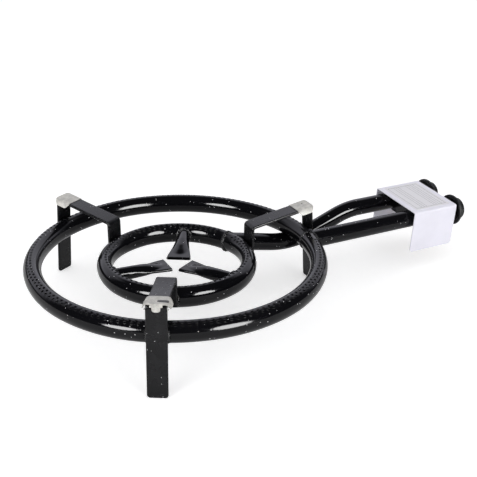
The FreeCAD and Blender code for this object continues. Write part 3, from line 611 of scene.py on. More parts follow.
def clip_material():
    """Tumbled steel of the clips: matt, mottled and slightly warm."""
    colours = finishes()
    material, finish, sockets = new_material("clip_steel", {"Metallic": 0.12})
    cloud = finish.noise(170, 4) * 0.6 + finish.noise(700, 3) * 0.4
    tone = finish.mix(cloud.eased(0.36, 0.64), rgba(colours.clip_dark), rgba(colours.clip_light))
    finish.feed(sockets["Base Color"], tone)
    finish.feed(sockets["Roughness"], 0.44 + cloud * 0.2)
    finish.feed(sockets["Normal"], finish.bump(finish.noise(900, 3), 0.00012))
    return material


def paint_material():
    """White powder paint with a fine orange peel."""
    colours = finishes()
    material, finish, sockets = new_material("white_paint", {"IOR": 1.5})
    cloud = finish.noise(35, 3)
    darker = rgba([c * 0.955 for c in colours.paint])
    finish.feed(sockets["Base Color"], finish.mix(cloud.eased(0.35, 0.7), rgba(colours.paint), darker))
    finish.feed(sockets["Roughness"], 0.34 + cloud * 0.1)
    finish.feed(sockets["Normal"], finish.bump(finish.noise(620, 2), 0.00008))
    return material


LABEL_MARGIN = 4 * MM
FRAME_LINE_HALF = 0.35 * MM
RULE_HALF = 0.3 * MM
RULE_SHARES = (-0.55, -0.4, -0.25, 0.2, 0.35, 0.5, 0.65)


def label_material():
    """Bare label: brushed along its length, with a thin printed frame and a few thin rules."""
    colours = finishes()
    material, finish, sockets = new_material("label_foil", {"IOR": 1.45})
    brushed = finish.node("ShaderNodeMapping", None, {"Vector": finish.place(), "Scale": (60, 2600, 60)})
    lines = finish.noise(1.0, 3, brushed)
    darker = rgba([c * 0.95 for c in colours.label])
    tone = finish.mix(lines.eased(0.35, 0.65), rgba(colours.label), darker)
    x, y = (finish.node("ShaderNodeSeparateXYZ", None, {"Vector": finish.place()}, axis)
            for axis in ("X", "Y"))
    spans = [node_span("label_plate", axis) for axis in (0, 1)]
    (x_middle, x_half), (y_middle, y_half) = (((low + high) / 2, (high - low) / 2) for low, high in spans)
    from_x = abs(x - x_middle) - (x_half - LABEL_MARGIN)
    from_y = abs(y - y_middle) - (y_half - LABEL_MARGIN)
    outside = from_x.math("MAXIMUM", from_x, from_y)
    printed = abs(outside) < FRAME_LINE_HALF
    for share in RULE_SHARES:
        rule = abs(x - (x_middle + share * x_half)) < RULE_HALF
        printed = printed.math("MAXIMUM", printed, rule * (outside < 0.0))
    ink = rgba([c * 0.4 for c in colours.label])
    finish.feed(sockets["Base Color"], finish.mix(printed, tone, ink))
    finish.feed(sockets["Roughness"], 0.32 + lines * 0.15)
    finish.feed(sockets["Normal"], finish.bump(lines, 0.00002))
    return material


def metal_material(name, colour, roughness, stain):
    """Machined metal: turned marks, soft stains and a rougher skin where it is stained."""
    material, finish, sockets = new_material(name, {"Metallic": 1.0})
    cloud = finish.noise(140, 4)
    darker = rgba([c * stain for c in colour])
    finish.feed(sockets["Base Color"], finish.mix(cloud.eased(0.35, 0.75), rgba(colour), darker))
    finish.feed(sockets["Roughness"], roughness + cloud * 0.16)
    turned = finish.node("ShaderNodeMapping", None, {"Vector": finish.place(), "Scale": (3200, 120, 120)})
    finish.feed(sockets["Normal"], finish.bump(finish.noise(1.0, 2, turned), 0.00003))
    return material


def plastic_material():
    """Moulded black plastic with a fine spark texture and dusty patches."""
    colours = finishes()
    material, finish, sockets = new_material("knob_plastic", {"IOR": 1.34})
    dust = finish.noise(110, 4)
    lighter = rgba([c * 2.6 for c in colours.plastic])
    finish.feed(sockets["Base Color"], finish.mix(dust.eased(0.5, 0.8), rgba(colours.plastic), lighter))
    finish.feed(sockets["Roughness"], 0.40 + dust * 0.18)
    finish.feed(sockets["Normal"], finish.bump(finish.noise(1500, 3), 0.00006))
    return material


# Pieces

EDGE_ANGLE = math.radians(38)
ROUND_EDGE_ANGLE = math.radians(60)


def add_piece(name, skin, body, material, nodes=(), edge_angle=EDGE_ANGLE):
    """Puts a skin into a new piece, hangs it on the empty of the body it rides on and hides the nodes it
    stands for. Edges over the edge angle stay sharp."""
    mesh = bpy.data.meshes.new(name)
    sides = np.concatenate([np.full(len(part), part.shape[1]) for part in skin.faces])
    corners = np.concatenate([part.ravel() for part in skin.faces])
    mesh.vertices.add(len(skin.points))
    mesh.vertices.foreach_set("co", skin.points.astype(np.float32).ravel())
    mesh.loops.add(len(corners))
    mesh.loops.foreach_set("vertex_index", corners.astype(np.int32))
    mesh.polygons.add(len(sides))
    mesh.polygons.foreach_set("loop_start", (np.cumsum(sides) - sides).astype(np.int32))
    mesh.polygons.foreach_set("use_smooth", np.ones(len(sides), bool))
    mesh.update(calc_edges=True)
    mesh.validate()
    mesh.set_sharp_from_angle(angle=edge_angle)
    mesh.materials.append(material)
    piece = bpy.data.objects.new(name, mesh)
    bpy.context.scene.collection.objects.link(piece)
    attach(piece, body)
    if nodes:
        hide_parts(*nodes)
    return piece


def finish_node(node, material):
    """Gives a frame node a better material."""
    for slot in frame["nodes"][node].material_slots:
        slot.link = "OBJECT"
        slot.material = material


def support_azimuths():
    """Directions of the three supports: the right, the rear left and the front."""
    return np.radians([0, 120, 240])


def jet_azimuths():
    """Directions of the three jets, halfway between the supports."""
    return np.radians([60, 180, 300])


OUTER_FEED_Y = sum(node_span("outer_feed_tube", 1)) / 2
INNER_FEED_Y = sum(node_span("inner_feed_tube", 1)) / 2
FEED_END_X = node_span("outer_feed_tube", 0)[1]
INNER_FEED_TOP = node_span("inner_feed_tube", 2)[1]
INNER_FEED_JOIN_LEVEL = 67 * MM
INNER_FEED_DIP = (198 * MM, 43.2 * MM)
INNER_FEED_RISE_X = 293 * MM
INNER_FEED_BENDS = (130 * MM, 110 * MM)
FEED_ARC_STEPS = 24
FEED_SIDES = 48


def inner_feed_corners():
    """Corners of the inner feed's centre line, which dips to pass under the outer ring."""
    ring = inner_ring()
    ring_x = math.sqrt(ring.radius ** 2 - INNER_FEED_Y ** 2)
    high = INNER_FEED_TOP - sizes().tube_radius
    return [(ring_x, INNER_FEED_JOIN_LEVEL), INNER_FEED_DIP, (INNER_FEED_RISE_X, high), (FEED_END_X, high)]


def feed_skin(stations, headings, feed_y):
    """A feed tube: circles along its route outside, a rounded lip, and circles back inside."""
    size = sizes()
    wall = size.tube_wall
    outer = along_route(stations, headings, circle(size.tube_radius, FEED_SIDES))
    end = stations[-1:]
    lip_headings = np.repeat(headings[-1:], 3)
    turn = np.linspace(0.25, 0.75, 3) * math.pi
    lip_reach = size.tube_radius - wall / 2 + wall / 2 * np.cos(turn)
    lip_place = np.repeat(end, 3, axis=0) + np.column_stack([wall / 4 * (np.sin(turn) - 1), 0 * turn])
    lip = along_route(lip_place, lip_headings, lip_reach[:, None, None] * circle(1, FEED_SIDES))
    inner = along_route(stations[::-1], headings[::-1], circle(size.tube_radius - wall, FEED_SIDES))
    outer[-1, :, 0] -= wall / 4
    inner[0, :, 0] -= wall / 4
    points = np.concatenate([outer, lip, inner])
    points[..., 1] += feed_y
    return tube_skin(points, closed_run=True)


JET_ROOT_DEPTH = 6 * MM
JET_TIP_LEVEL = 67 * MM
JET_STATIONS = 44
JET_SIDES = 72
JET_SHEET_HALF = 2.2 * MM
# Share along a jet and its half width, as a share of the tip's
JET_WIDTHS = ((0, 0.53), (0.12, 0.53), (0.35, 0.56), (0.65, 0.75), (0.9, 0.95), (1, 1))
# Share along a jet and half height of its round tube in millimetres
JET_HEIGHTS = ((0, 9), (0.15, 9), (0.4, 8.5), (0.62, 7.0), (0.78, 4.6), (0.9, 2.4), (1.2, 2.0))
JET_MOUTH_STATION = 8
JET_LIP = 0.35 * MM


def jet_skin(inset):
    """A fishtail jet on the X axis, whose width grows towards its tip. Its height over the middle plane
    is the greater of two: a flat sheet's with round edges, and a round tube's, the root of one less
    the square of the place across. The tube sinks along the jet, and sooner at the sides, so that it
    ends in an arch."""
    size = sizes()
    ring = inner_ring()
    root = ring.inside + JET_ROOT_DEPTH
    share = np.linspace(0, 1, JET_STATIONS)
    half_width = np.interp(share, *zip(*JET_WIDTHS)) * size.jet_tip_half - inset
    turn = np.linspace(0, 2 * math.pi, JET_SIDES, endpoint=False)
    across = np.sign(np.cos(turn)) * (1 - (1 - np.abs(np.cos(turn))) ** 1.15)
    y = half_width[:, None] * across
    flat = JET_SHEET_HALF - inset
    past = np.clip((np.abs(y) - half_width[:, None] + flat) / flat, 0, 1)
    sheet = flat * np.sqrt(1 - past ** 2)
    sunk = np.interp(share[:, None] + 0.2 * across ** 2, *zip(*JET_HEIGHTS)) * MM - inset
    tube = sunk * np.sqrt(np.clip(1 - across ** 2, 0, 1))
    x = root + (size.jet_tip_reach - root) * share
    level = ring.level + (JET_TIP_LEVEL - ring.level) * share
    z = level[:, None] + np.maximum(sheet, tube) * np.sign(np.sin(turn)).round()
    return np.stack([np.broadcast_to(x[:, None], y.shape), y, z], axis=-1)


def jet_piece_skin():
    """A jet's outside, its lip and the inside of its mouth, as one closed run of stations."""
    outer = jet_skin(0)
    inner = jet_skin(sizes().jet_wall)[:JET_MOUTH_STATION:-1]
    lip = (outer[-1:] + inner[:1]) / 2
    lip[..., 0] -= JET_LIP
    return tube_skin(np.concatenate([outer, lip, inner]))


POST_END_LEVEL = 62 * MM
POST_GAP = 0.1 * MM
LEG_GAP = 1.2 * MM
BEND_RADIUS = 4 * MM
BAR_EDGE = 1.5 * MM
TOE_RADIUS = 3 * MM
# Distances from the foot's end at which the bar narrows round its toe
TOE_STATIONS = np.array([3, 2.4, 1.7, 1.0, 0.45, 0.12, 0]) * MM


def support_corners():
    """Corners of a support's centre line: the post's end, both bends and the foot."""
    size = sizes()
    ring = outer_ring()
    lean, rise = size.leg_splay, size.arm_rise
    half = size.bar_half_thickness
    reach = math.hypot(ring.half_width * math.cos(lean), ring.half_height * math.sin(lean))
    reach += LEG_GAP + half
    leg_r = ring.radius + reach * math.cos(lean)
    leg_z = ring.level + reach * math.sin(lean)
    corner_z = size.rest_height - half
    corner_r = leg_r - (corner_z - leg_z) * math.tan(lean)
    post_r = inner_ring().outside + POST_GAP + half
    bend_z = corner_z - (corner_r - post_r) * math.tan(rise)
    foot_r = leg_r + leg_z * math.tan(lean)
    return [(post_r, POST_END_LEVEL), (post_r, bend_z), (corner_r, corner_z), (foot_r, 0)]


def support_skin():
    """A flat bar carried along its bent route, narrowed by quarter circles at its foot and cut level
    with the floor."""
    size = sizes()
    stations, headings = rounded_route(support_corners(), [BEND_RADIUS, BEND_RADIUS])
    back = TOE_STATIONS
    heading = headings[-1]
    toes = stations[-1] - back[:, None] * np.array([math.cos(heading), math.sin(heading)])
    stations = np.concatenate([stations[:-1], toes])
    headings = np.concatenate([headings[:-1], np.repeat(heading, len(back))])
    narrow = np.zeros(len(stations))
    rounding = np.sqrt(np.clip(TOE_RADIUS ** 2 - (TOE_RADIUS - back) ** 2, 0, None))
    narrow[-len(back):] = TOE_RADIUS - rounding
    outline = rounded_rectangle(size.bar_half_width, size.bar_half_thickness, BAR_EDGE)
    sections = np.repeat(outline[None], len(stations), axis=0)
    sections[..., 0] *= (1 - narrow / size.bar_half_width)[:, None]
    points = along_route(stations, headings, sections)
    points[..., 2] = np.maximum(points[..., 2], 0)
    return tube_skin(points)


def clip_frame():
    """Corner of the bar's outer faces, the arm's direction and the arm's normal, in the XZ plane."""
    size = sizes()
    corner = np.array(support_corners()[2])
    arm = np.array([math.cos(size.arm_rise), math.sin(size.arm_rise)])
    normal = np.array([-arm[1], arm[0]])
    leg_normal = np.array([math.cos(size.leg_splay), math.sin(size.leg_splay)])
    corner = corner + (normal + leg_normal) * size.bar_half_thickness / (1 + normal @ leg_normal)
    return corner, arm, normal


def clip_to_support(points):
    """Moves a clip's own coordinates, X along the arm from its corner and Z off its face."""
    corner, arm, normal = clip_frame()
    flat = corner + points[..., :1] * arm + points[..., 2:] * normal
    return np.stack([flat[..., 0], points[..., 1], flat[..., 1]], axis=-1)


CAP_FRONT = 1.05 * MM
CAP_CORNER = 8.5 * MM
CAP_BACK_HALF = 13.4 * MM
CAP_BACK_RUN = 5 * MM
CAP_LIFT = 0.55 * MM
CAP_CROWN = 1.7 * MM
# Width and depth of the cap's fall towards its sides and towards its front
SIDE_FALL = (4.6 * MM, 5.6 * MM)
FRONT_FALL = (1.0 * MM, 0.6 * MM)


def cap_points():
    """A clip's cap as a height over its plan. The plan is narrow at the back, widens to the skirts
    and has round outer corners. The height is crowned by the fourth power of the place across, and
    falls off towards the nearest edge, far down at the sides and a little at the front."""
    size = sizes()
    front, corner = CAP_FRONT, CAP_CORNER
    half = size.clip_half_width
    even = np.linspace(0, 1, 34)
    along = -size.clip_length + (size.clip_length + front) * np.sin(even * math.pi / 2)
    back = np.clip((along + size.clip_length) / CAP_BACK_RUN, 0, 1)
    reach = CAP_BACK_HALF + (half - CAP_BACK_HALF) * (1 - (1 - back) ** 2)
    past = np.clip(along - (front - corner), 0, corner)
    reach = np.minimum(reach, half - corner + np.sqrt(corner ** 2 - past ** 2))
    across = np.sin(np.linspace(-1, 1, 61) * math.pi / 2)
    x = np.broadcast_to(along[:, None], (len(along), len(across)))
    y = reach[:, None] * across
    side_gap = half - np.abs(y)
    front_gap = front - x
    in_corner = (side_gap < corner) & (front_gap < corner)
    out_x = np.clip(corner - front_gap, 0, None)
    out_y = np.clip(corner - side_gap, 0, None)
    round_gap = corner - np.hypot(out_x, out_y)
    gap = np.clip(np.where(in_corner, round_gap, np.minimum(side_gap, front_gap)), 0, None)
    facing = np.where(in_corner, np.arctan2(out_x, out_y) / (math.pi / 2), (front_gap < side_gap) * 1.0)
    facing = np.clip((facing - 0.25) / 0.45, 0, 1)
    width, depth = (aside * (1 - facing) + ahead * facing
                    for aside, ahead in zip(SIDE_FALL, FRONT_FALL))
    crown = CAP_CROWN * (np.abs(y) / half) ** 4
    z = CAP_LIFT - crown - depth * np.clip(1 - gap / width, 0, 1) ** 1.5
    return np.stack([x, y, z], axis=-1)


# Height of a dark patch's top over the bar and how far it sinks to its outline, in millimetres
PATCH_TOP = 1.14
PATCH_SINK = 0.12
PATCH_DEPTH = 0.9 * MM


def dark_patch_skin(middle, halves):
    """A thin dark patch of the bar's enamel, laid just over a clip's top: its outline is a circle drawn out
    to the half sizes and squared a little, and its top sinks towards the outline. On the front clip it is
    painted shade of the slot over the bar's own black: the cap is not cut, and the patch stands for the
    black bar and the shade seen through the slot."""
    share = np.linspace(0.02, 1, 8)[:, None]
    turn = np.linspace(0, 2 * math.pi, 40, endpoint=False)
    squared = [np.sign(part(turn)) * np.abs(part(turn)) ** 0.6 for part in (np.cos, np.sin)]
    x = middle[0] + halves[0] * share * squared[0]
    y = middle[1] + halves[1] * share * squared[1]
    z = np.broadcast_to((PATCH_TOP - PATCH_SINK * share ** 4) * MM, x.shape)
    top = np.stack([x, y, z], axis=-1)
    base = top[-1:] - [0, 0, PATCH_DEPTH]
    return tube_skin(clip_to_support(np.concatenate([top, base])))


TONGUE_LENGTH = 9.2 * MM
TONGUE_STEP = 3.4 * MM
TONGUE_ROOT_HALF, TONGUE_HALF = 7.2 * MM, 4.9 * MM
TONGUE_BEND = 2 * MM
TONGUE_GRID = (26, 15)
TIP_POWER = 3.4
HOOK_PLACE = (-3.4 * MM, 13.6 * MM, -6.6 * MM)
HOOK_RADIUS = 1.1 * MM
HOOK_WIRE = 0.65 * MM


def clip_skin():
    """A clip: its cap, the tongue down the leg and a small curled hook at each skirt's end."""
    size = sizes()
    cap = cap_points()
    lean = size.arm_rise - size.leg_splay + math.radians(90)
    down = np.linspace(0, TONGUE_LENGTH, TONGUE_GRID[0])
    half = np.where(down < TONGUE_STEP, TONGUE_ROOT_HALF, TONGUE_HALF)
    past = np.clip((down - (TONGUE_LENGTH - TONGUE_HALF)) / TONGUE_HALF, 0, 1)
    half = half * np.clip(1 - past ** TIP_POWER, 0.04, 1) ** (1 / TIP_POWER)
    across = np.linspace(-1, 1, TONGUE_GRID[1])
    bent = np.clip(down / TONGUE_BEND, 0, 1)
    x = 0.6 * MM - 0.9 * MM * (1 - bent) ** 2 + math.cos(lean) * down
    z = -0.2 * MM - math.sin(lean) * down
    tongue = np.stack([np.broadcast_to(x[:, None], TONGUE_GRID), half[:, None] * across,
                       np.broadcast_to(z[:, None], TONGUE_GRID)], axis=-1)
    skins = [sheet_skin(clip_to_support(cap), size.clip_sheet),
             sheet_skin(clip_to_support(tongue), size.clip_sheet)]
    turn = np.linspace(-0.2, 1.1, 12) * math.pi
    hook_x, hook_y, hook_z = HOOK_PLACE
    for side in (-1, 1):
        curl = np.column_stack([hook_x + HOOK_RADIUS * np.cos(turn), side * (hook_y + 0 * turn),
                                hook_z - HOOK_RADIUS * np.sin(turn)])
        path = clip_to_support(curl)
        out = np.tile([0.0, 1.0, 0.0], (len(path), 1))
        skins.append(bead_skin(path, out, HOOK_WIRE))
    return joined(skins)


JET_BEAD_RADIUS, JET_BEAD_GAP = 2.3 * MM, 0.5 * MM
FEED_BEAD_RADIUS, FEED_BEAD_INSET = 2.6 * MM, 0.2 * MM
FEED_BEAD_SHARE = 0.93
OUTER_SEAM_RADIUS, INNER_SEAM_RADIUS = 2.0 * MM, 2.7 * MM
SEAM_WANDER = 0.003
SEAM_SINK = 0.5 * MM
# Length of the beads beside a support and their gap to the ring
INNER_BEAD, OUTER_BEAD = (15 * MM, 0.2 * MM), (17 * MM, 0.9 * MM)
SUPPORT_BEAD_GAP = 0.3 * MM
BEAD_SEARCH = 40 * MM
JET_BEAD_STATIONS = 72
FEED_BEAD_STATIONS = 96
SEAM_STATIONS = 110
SUPPORT_BEAD_STATIONS = 40


def jet_bead_skin():
    """Bead round a jet's root: the circle just outside the jet, carried on to the ring's inside."""
    ring = inner_ring()
    spread = circle(sizes().jet_radius + JET_BEAD_GAP, JET_BEAD_STATIONS)
    depth = np.full(JET_BEAD_STATIONS, ring.radius)
    start = np.column_stack([depth, spread[:, 0], ring.level + spread[:, 1]])
    path = ring.exit_along(start, np.array([-1.0, 0, 0]), BEAD_SEARCH)
    return bead_skin(path, ring.outward_at(path), JET_BEAD_RADIUS, closed=True, seed=1)


def feed_bead_skin(ring, start, direction, seed):
    """Bead round a feed tube: a circle just inside the tube's skin, kept within the ring's height and
    carried along the tube's axis on to the ring."""
    across = np.array([0.0, 1.0, 0.0])
    up = np.cross(direction, across)
    spread = circle(sizes().tube_radius - FEED_BEAD_INSET, FEED_BEAD_STATIONS)
    points = start + spread[:, :1] * across + spread[:, 1:] * up
    most = FEED_BEAD_SHARE * ring.half_height
    points[:, 2] = np.clip(points[:, 2], ring.level - most, ring.level + most)
    path = ring.exit_along(points, direction, BEAD_SEARCH)
    return bead_skin(path, ring.outward_at(path), FEED_BEAD_RADIUS, closed=True, seed=seed)


def seam_bead_skin(ring, azimuth, radius, seed):
    """Low bead across a ring where its two ends meet, from under its outside over to its inside."""
    turn = np.linspace(math.radians(50), math.radians(310), SEAM_STATIONS)
    azimuths = azimuth + SEAM_WANDER * np.sin(5 * turn)
    path = ring.place(azimuths, turn)
    normals = ring.normal(azimuths, turn)
    return bead_skin(path - SEAM_SINK * normals, normals, radius, seed=seed)


def support_bead_skins():
    """Upright beads beside a support at both rings, each following the ring's oval."""
    size = sizes()
    skins = []
    for ring, (length, gap) in ((inner_ring(), INNER_BEAD), (outer_ring(), OUTER_BEAD)):
        for side in (-1, 1):
            rise = np.linspace(-length / 2, length / 2, SUPPORT_BEAD_STATIONS)
            reach = ring.radius + ring.half_width * np.sqrt(1 - (rise / ring.half_height) ** 2) + gap
            y = np.full(SUPPORT_BEAD_STATIONS, side * (size.bar_half_width + SUPPORT_BEAD_GAP))
            path = np.column_stack([np.sqrt(reach ** 2 - y ** 2), y, ring.level + rise])
            out = np.tile([1.0, float(side), 0.0], (SUPPORT_BEAD_STATIONS, 1))
            skins.append(bead_skin(path, out, size.bead_radius, seed=side + 2))
    return skins


KNOB_CENTRES = {name: (sum(node_span(name, 1)) / 2, sum(node_span(name, 2)) / 2)
                for name in ("outer_knob", "inner_knob")}

KNOB_PROFILE_LENGTH, KNOB_PROFILE_RADIUS = 15 * MM, 23 * MM
# A knob's profile in millimetres: distance from its back face and radius
KNOB_PROFILE = (
    (14.6, 0.01), (14.6, 9.0), (14.7, 9.6), (15.0, 10.2), (15.0, 14.4), (14.93, 15.2), (14.7, 15.8),
    (14.3, 16.25), (13.6, 16.5), (12.5, 16.7), (10.0, 17.15), (7.5, 17.6), (6.4, 17.85), (5.9, 18.3),
    (5.6, 19.2), (5.3, 20.6), (4.7, 21.8), (3.9, 22.6), (2.9, 23.0), (0.8, 23.0), (0.2, 22.8),
    (0.0, 22.3), (0.0, 20.6), (0.3, 20.4), (3.0, 18.0), (5.5, 15.6), (7.2, 15.4), (7.3, 15.0),
    (7.3, 0.01),
)
GRIP_POINTS = 16
GRIP_BACK = 5.7 * MM
FLUTES = 12
FLUTE_STEPS = 18
FLUTE_CENTRE, FLUTE_RADIUS = 20.1 * MM, 3 * MM


def knob_skin(name):
    """A knob turned about its axis. The profile runs from the middle of the face over the grip and the
    skirt into the recess, and the grip's radius is the lesser of its own and of the flutes' circles,
    each given by the cosine rule."""
    back = node_span(name, 0)[0]
    half = (node_span(name, 1)[1] - node_span(name, 1)[0]) / 2
    profile = np.array(KNOB_PROFILE) * MM
    profile[:, 0] *= sizes().knob_length / KNOB_PROFILE_LENGTH
    profile[:, 1] *= half / KNOB_PROFILE_RADIUS
    turn = np.linspace(0, 2 * math.pi, FLUTE_STEPS * FLUTES, endpoint=False)
    from_flute = (turn + math.pi / FLUTES) % (2 * math.pi / FLUTES) - math.pi / FLUTES
    under = FLUTE_RADIUS ** 2 - (FLUTE_CENTRE * np.sin(from_flute)) ** 2
    flute = np.where(under > 0, FLUTE_CENTRE * np.cos(from_flute) - np.sqrt(np.clip(under, 0, None)), 1.0)
    on_grip = (profile[:, 0] > GRIP_BACK) & (np.arange(len(profile)) < GRIP_POINTS)
    reach = np.where(on_grip[:, None], np.minimum(profile[:, 1:], flute), profile[:, 1:])
    y, z = KNOB_CENTRES[name]
    points = np.stack([np.broadcast_to(back + profile[:, :1], reach.shape), y + reach * np.cos(turn),
                       z + reach * np.sin(turn)], axis=-1)
    return tube_skin(points)


SPRING_TURNS = 4
SPRING_WIRE_RADIUS = 0.45 * MM
SPRING_STEPS = 36
SPRING_SIDES = 14


def spring_skin(node):
    """A return spring: circles of the wire's radius along a helix about the tap's axis. The place
    along the axis grows evenly with the turn."""
    (low, high), (left, right), (below, above) = (node_span(node, axis) for axis in (0, 1, 2))
    turn = np.linspace(0.25, 0.25 + SPRING_TURNS, SPRING_STEPS * SPRING_TURNS + 1) * 2 * math.pi
    share = (turn - turn[0]) / (turn[-1] - turn[0])
    coil = (right - left) / 2 - SPRING_WIRE_RADIUS
    outward = np.column_stack([0 * turn, np.cos(turn), np.sin(turn)])
    middle = np.array([0, (left + right) / 2, (below + above) / 2])
    path = middle + coil * outward
    path[:, 0] = low + SPRING_WIRE_RADIUS + (high - low - 2 * SPRING_WIRE_RADIUS) * share
    heading = np.gradient(path, axis=0)
    heading /= np.linalg.norm(heading, axis=-1, keepdims=True)
    side = np.cross(heading, outward)
    wire = circle(SPRING_WIRE_RADIUS, SPRING_SIDES)
    across = wire[None, :, :1] * side[:, None] + wire[None, :, 1:] * outward[:, None]
    return tube_skin(path[:, None] + across)


def push_travel(joint):
    """How far a knob pushes in, from the record."""
    joints = frame["record"]["behaviour"]["joints"]
    return next(each["range_m"][1] for each in joints if each["name"] == joint)


# Offsets of the port rows from the tube's centre line, outwards, and the stretches without ports
OUTER_PORT_ROWS, OUTER_JOINT_SPAN = (1.5 * MM, 5.5 * MM), 40 * MM
INNER_PORT_ROWS, INNER_JOINT_SPAN = (-1.5 * MM, -5.5 * MM), 26 * MM


class BurnerRings(bpy.types.Operator):
    """Add both enamelled rings with their gas ports"""
    bl_idname = "burner.rings"
    bl_label = "Rings"

    def execute(self, context):
        enamel = enamel_material()
        ring = outer_ring()
        joint = math.asin(OUTER_FEED_Y / ring.radius)
        skin = ported_skin(ring, OUTER_PORT_ROWS, joint, OUTER_JOINT_SPAN)
        add_piece("outer_ring_enamel", skin, "burner", enamel, ["outer_ring"],
                  ROUND_EDGE_ANGLE)
        ring = inner_ring()
        joint = math.asin(INNER_FEED_Y / ring.outside)
        skin = ported_skin(ring, INNER_PORT_ROWS, joint, INNER_JOINT_SPAN)
        add_piece("inner_ring_enamel", skin, "burner", enamel, ["inner_ring"],
                  ROUND_EDGE_ANGLE)
        return {"FINISHED"}


class BurnerFeeds(bpy.types.Operator):
    """Add the straight and the dipping feed tube"""
    bl_idname = "burner.feeds"
    bl_label = "Feed tubes"

    def execute(self, context):
        enamel = bpy.data.materials["black_enamel"]
        ring = outer_ring()
        start = ring.radius
        stations = np.array([(start, ring.level), (FEED_END_X, ring.level)])
        skin = feed_skin(stations, np.zeros(2), OUTER_FEED_Y)
        add_piece("outer_feed_enamel", skin, "burner", enamel, ["outer_feed_tube"])
        stations, headings = rounded_route(inner_feed_corners(), INNER_FEED_BENDS, FEED_ARC_STEPS)
        skin = feed_skin(stations, headings, INNER_FEED_Y)
        add_piece("inner_feed_enamel", skin, "burner", enamel, ["inner_feed_tube"])
        return {"FINISHED"}


class BurnerJets(bpy.types.Operator):
    """Add the three fishtail jets inside the inner ring"""
    bl_idname = "burner.jets"
    bl_label = "Centre jets"

    def execute(self, context):
        enamel = bpy.data.materials["black_enamel"]
        skin = jet_piece_skin()
        for number, azimuth in enumerate(jet_azimuths(), 1):
            add_piece("jet_enamel_%d" % number, skin.turned(azimuth), "burner", enamel,
                      ["centre_jet_%d" % number])
        return {"FINISHED"}


class BurnerSupports(bpy.types.Operator):
    """Add the three bent bars that carry the pan"""
    bl_idname = "burner.supports"
    bl_label = "Pan supports"

    def execute(self, context):
        satin = satin_material()
        skin = support_skin()
        for number, azimuth in enumerate(support_azimuths(), 1):
            add_piece("support_enamel_%d" % number, skin.turned(azimuth), "burner", satin,
                      ["support_bar_%d" % number])
        return {"FINISHED"}


# Middle and half sizes, in a clip's own plan, of the dark patch that paints the front clip's slot with its
# shade, and of the pip beside the slot
FRONT_SLOT_SHADE = (-8 * MM, 6.6 * MM), (3.4 * MM, 6.8 * MM)
REAR_PIP = (-9 * MM, 3 * MM), (1.3 * MM, 1.1 * MM)


class BurnerClips(bpy.types.Operator):
    """Add the steel clips over the supports' outer corners"""
    bl_idname = "burner.clips"
    bl_label = "Pan clips"

    def execute(self, context):
        steel = clip_material()
        for number, azimuth in enumerate(support_azimuths(), 1):
            add_piece("clip_steel_%d" % number, clip_skin().turned(azimuth), "burner",
                      steel, ["pan_clip_%d" % number])
        satin = bpy.data.materials["satin_enamel"]
        front, rear = support_azimuths()[2], support_azimuths()[0]
        # Painted shade: the front clip's slot is not cut; a dark enamel patch over its top paints the
        # slot's shade and the black bar under it.
        add_piece("clip_slot_shade", dark_patch_skin(*FRONT_SLOT_SHADE).turned(front), "burner", satin)
        add_piece("clip_pip", dark_patch_skin(*REAR_PIP).turned(rear), "burner", satin)
        return {"FINISHED"}


class BurnerWelds(bpy.types.Operator):
    """Add the weld beads at the jets, the supports, the feed tubes and the rings' joints"""
    bl_idname = "burner.welds"
    bl_label = "Welds"

    def execute(self, context):
        weld = weld_material()
        bead = jet_bead_skin()
        skins = [bead.turned(azimuth) for azimuth in jet_azimuths()]
        add_piece("jet_welds", joined(skins), "burner", weld, ["jet_weld_beads"],
                  ROUND_EDGE_ANGLE)
        skins = [skin.turned(azimuth) for azimuth in support_azimuths() for skin in support_bead_skins()]
        add_piece("support_welds", joined(skins), "burner", weld, ["support_weld_beads"],
                  ROUND_EDGE_ANGLE)
        outer, inner = outer_ring(), inner_ring()
        start = np.array([math.sqrt(outer.radius ** 2 - OUTER_FEED_Y ** 2), OUTER_FEED_Y, outer.level])
        skins = [feed_bead_skin(outer, start, np.array([1.0, 0, 0]), 2),
                 seam_bead_skin(outer, math.asin(OUTER_FEED_Y / outer.radius), OUTER_SEAM_RADIUS, 4),
                 seam_bead_skin(inner, math.asin(INNER_FEED_Y / inner.outside), INNER_SEAM_RADIUS, 6)]
        corners = np.array(inner_feed_corners())
        down = (corners[1] - corners[0]) / np.linalg.norm(corners[1] - corners[0])
        start = np.array([corners[0, 0], INNER_FEED_Y, corners[0, 1]])
        skins.append(feed_bead_skin(inner, start, np.array([down[0], 0, down[1]]), 3))
        add_piece("feed_welds", joined(skins), "burner", weld, (), ROUND_EDGE_ANGLE)
        return {"FINISHED"}


class BurnerBracket(bpy.types.Operator):
    """Paint the bracket, enamel its cross plate and finish the label plate"""
    bl_idname = "burner.bracket"
    bl_label = "Bracket"

    def execute(self, context):
        paint = paint_material()
        finish_node("tap_bracket", paint)
        finish_node("tube_plate", bpy.data.materials["black_enamel"])
        finish_node("label_plate", label_material())
        return {"FINISHED"}


class BurnerTaps(bpy.types.Operator):
    """Add the return springs and finish the brass and zinc of the gas fittings"""
    bl_idname = "burner.taps"
    bl_label = "Gas fittings"

    def execute(self, context):
        colours = finishes()
        brass = metal_material("turned_brass", colours.brass, 0.22, 0.72)
        zinc = metal_material("zinc_plate", colours.zinc, 0.30, 0.82)
        spring = metal_material("spring_wire", colours.spring, 0.25, 0.8)
        finish_node("gas_manifold", brass)
        finish_node("hose_nozzle", brass)
        finish_node("nozzle_washer", zinc)
        for side in ("outer_", "inner_"):
            for node in ("tap_body", "injector", "tap_plug", "tap_stem"):
                finish_node(side + node, brass)
            finish_node(side + "bonnet_nut", zinc)
            node, joint = side + "return_spring", side + "knob_push"
            piece = add_piece(side + "spring_wire", spring_skin(node), side + "plug",
                              spring, [node])
            low, high = node_span(node, 0)
            keep = 1 - push_travel(joint) / (high - low)
            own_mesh(piece)
        return {"FINISHED"}


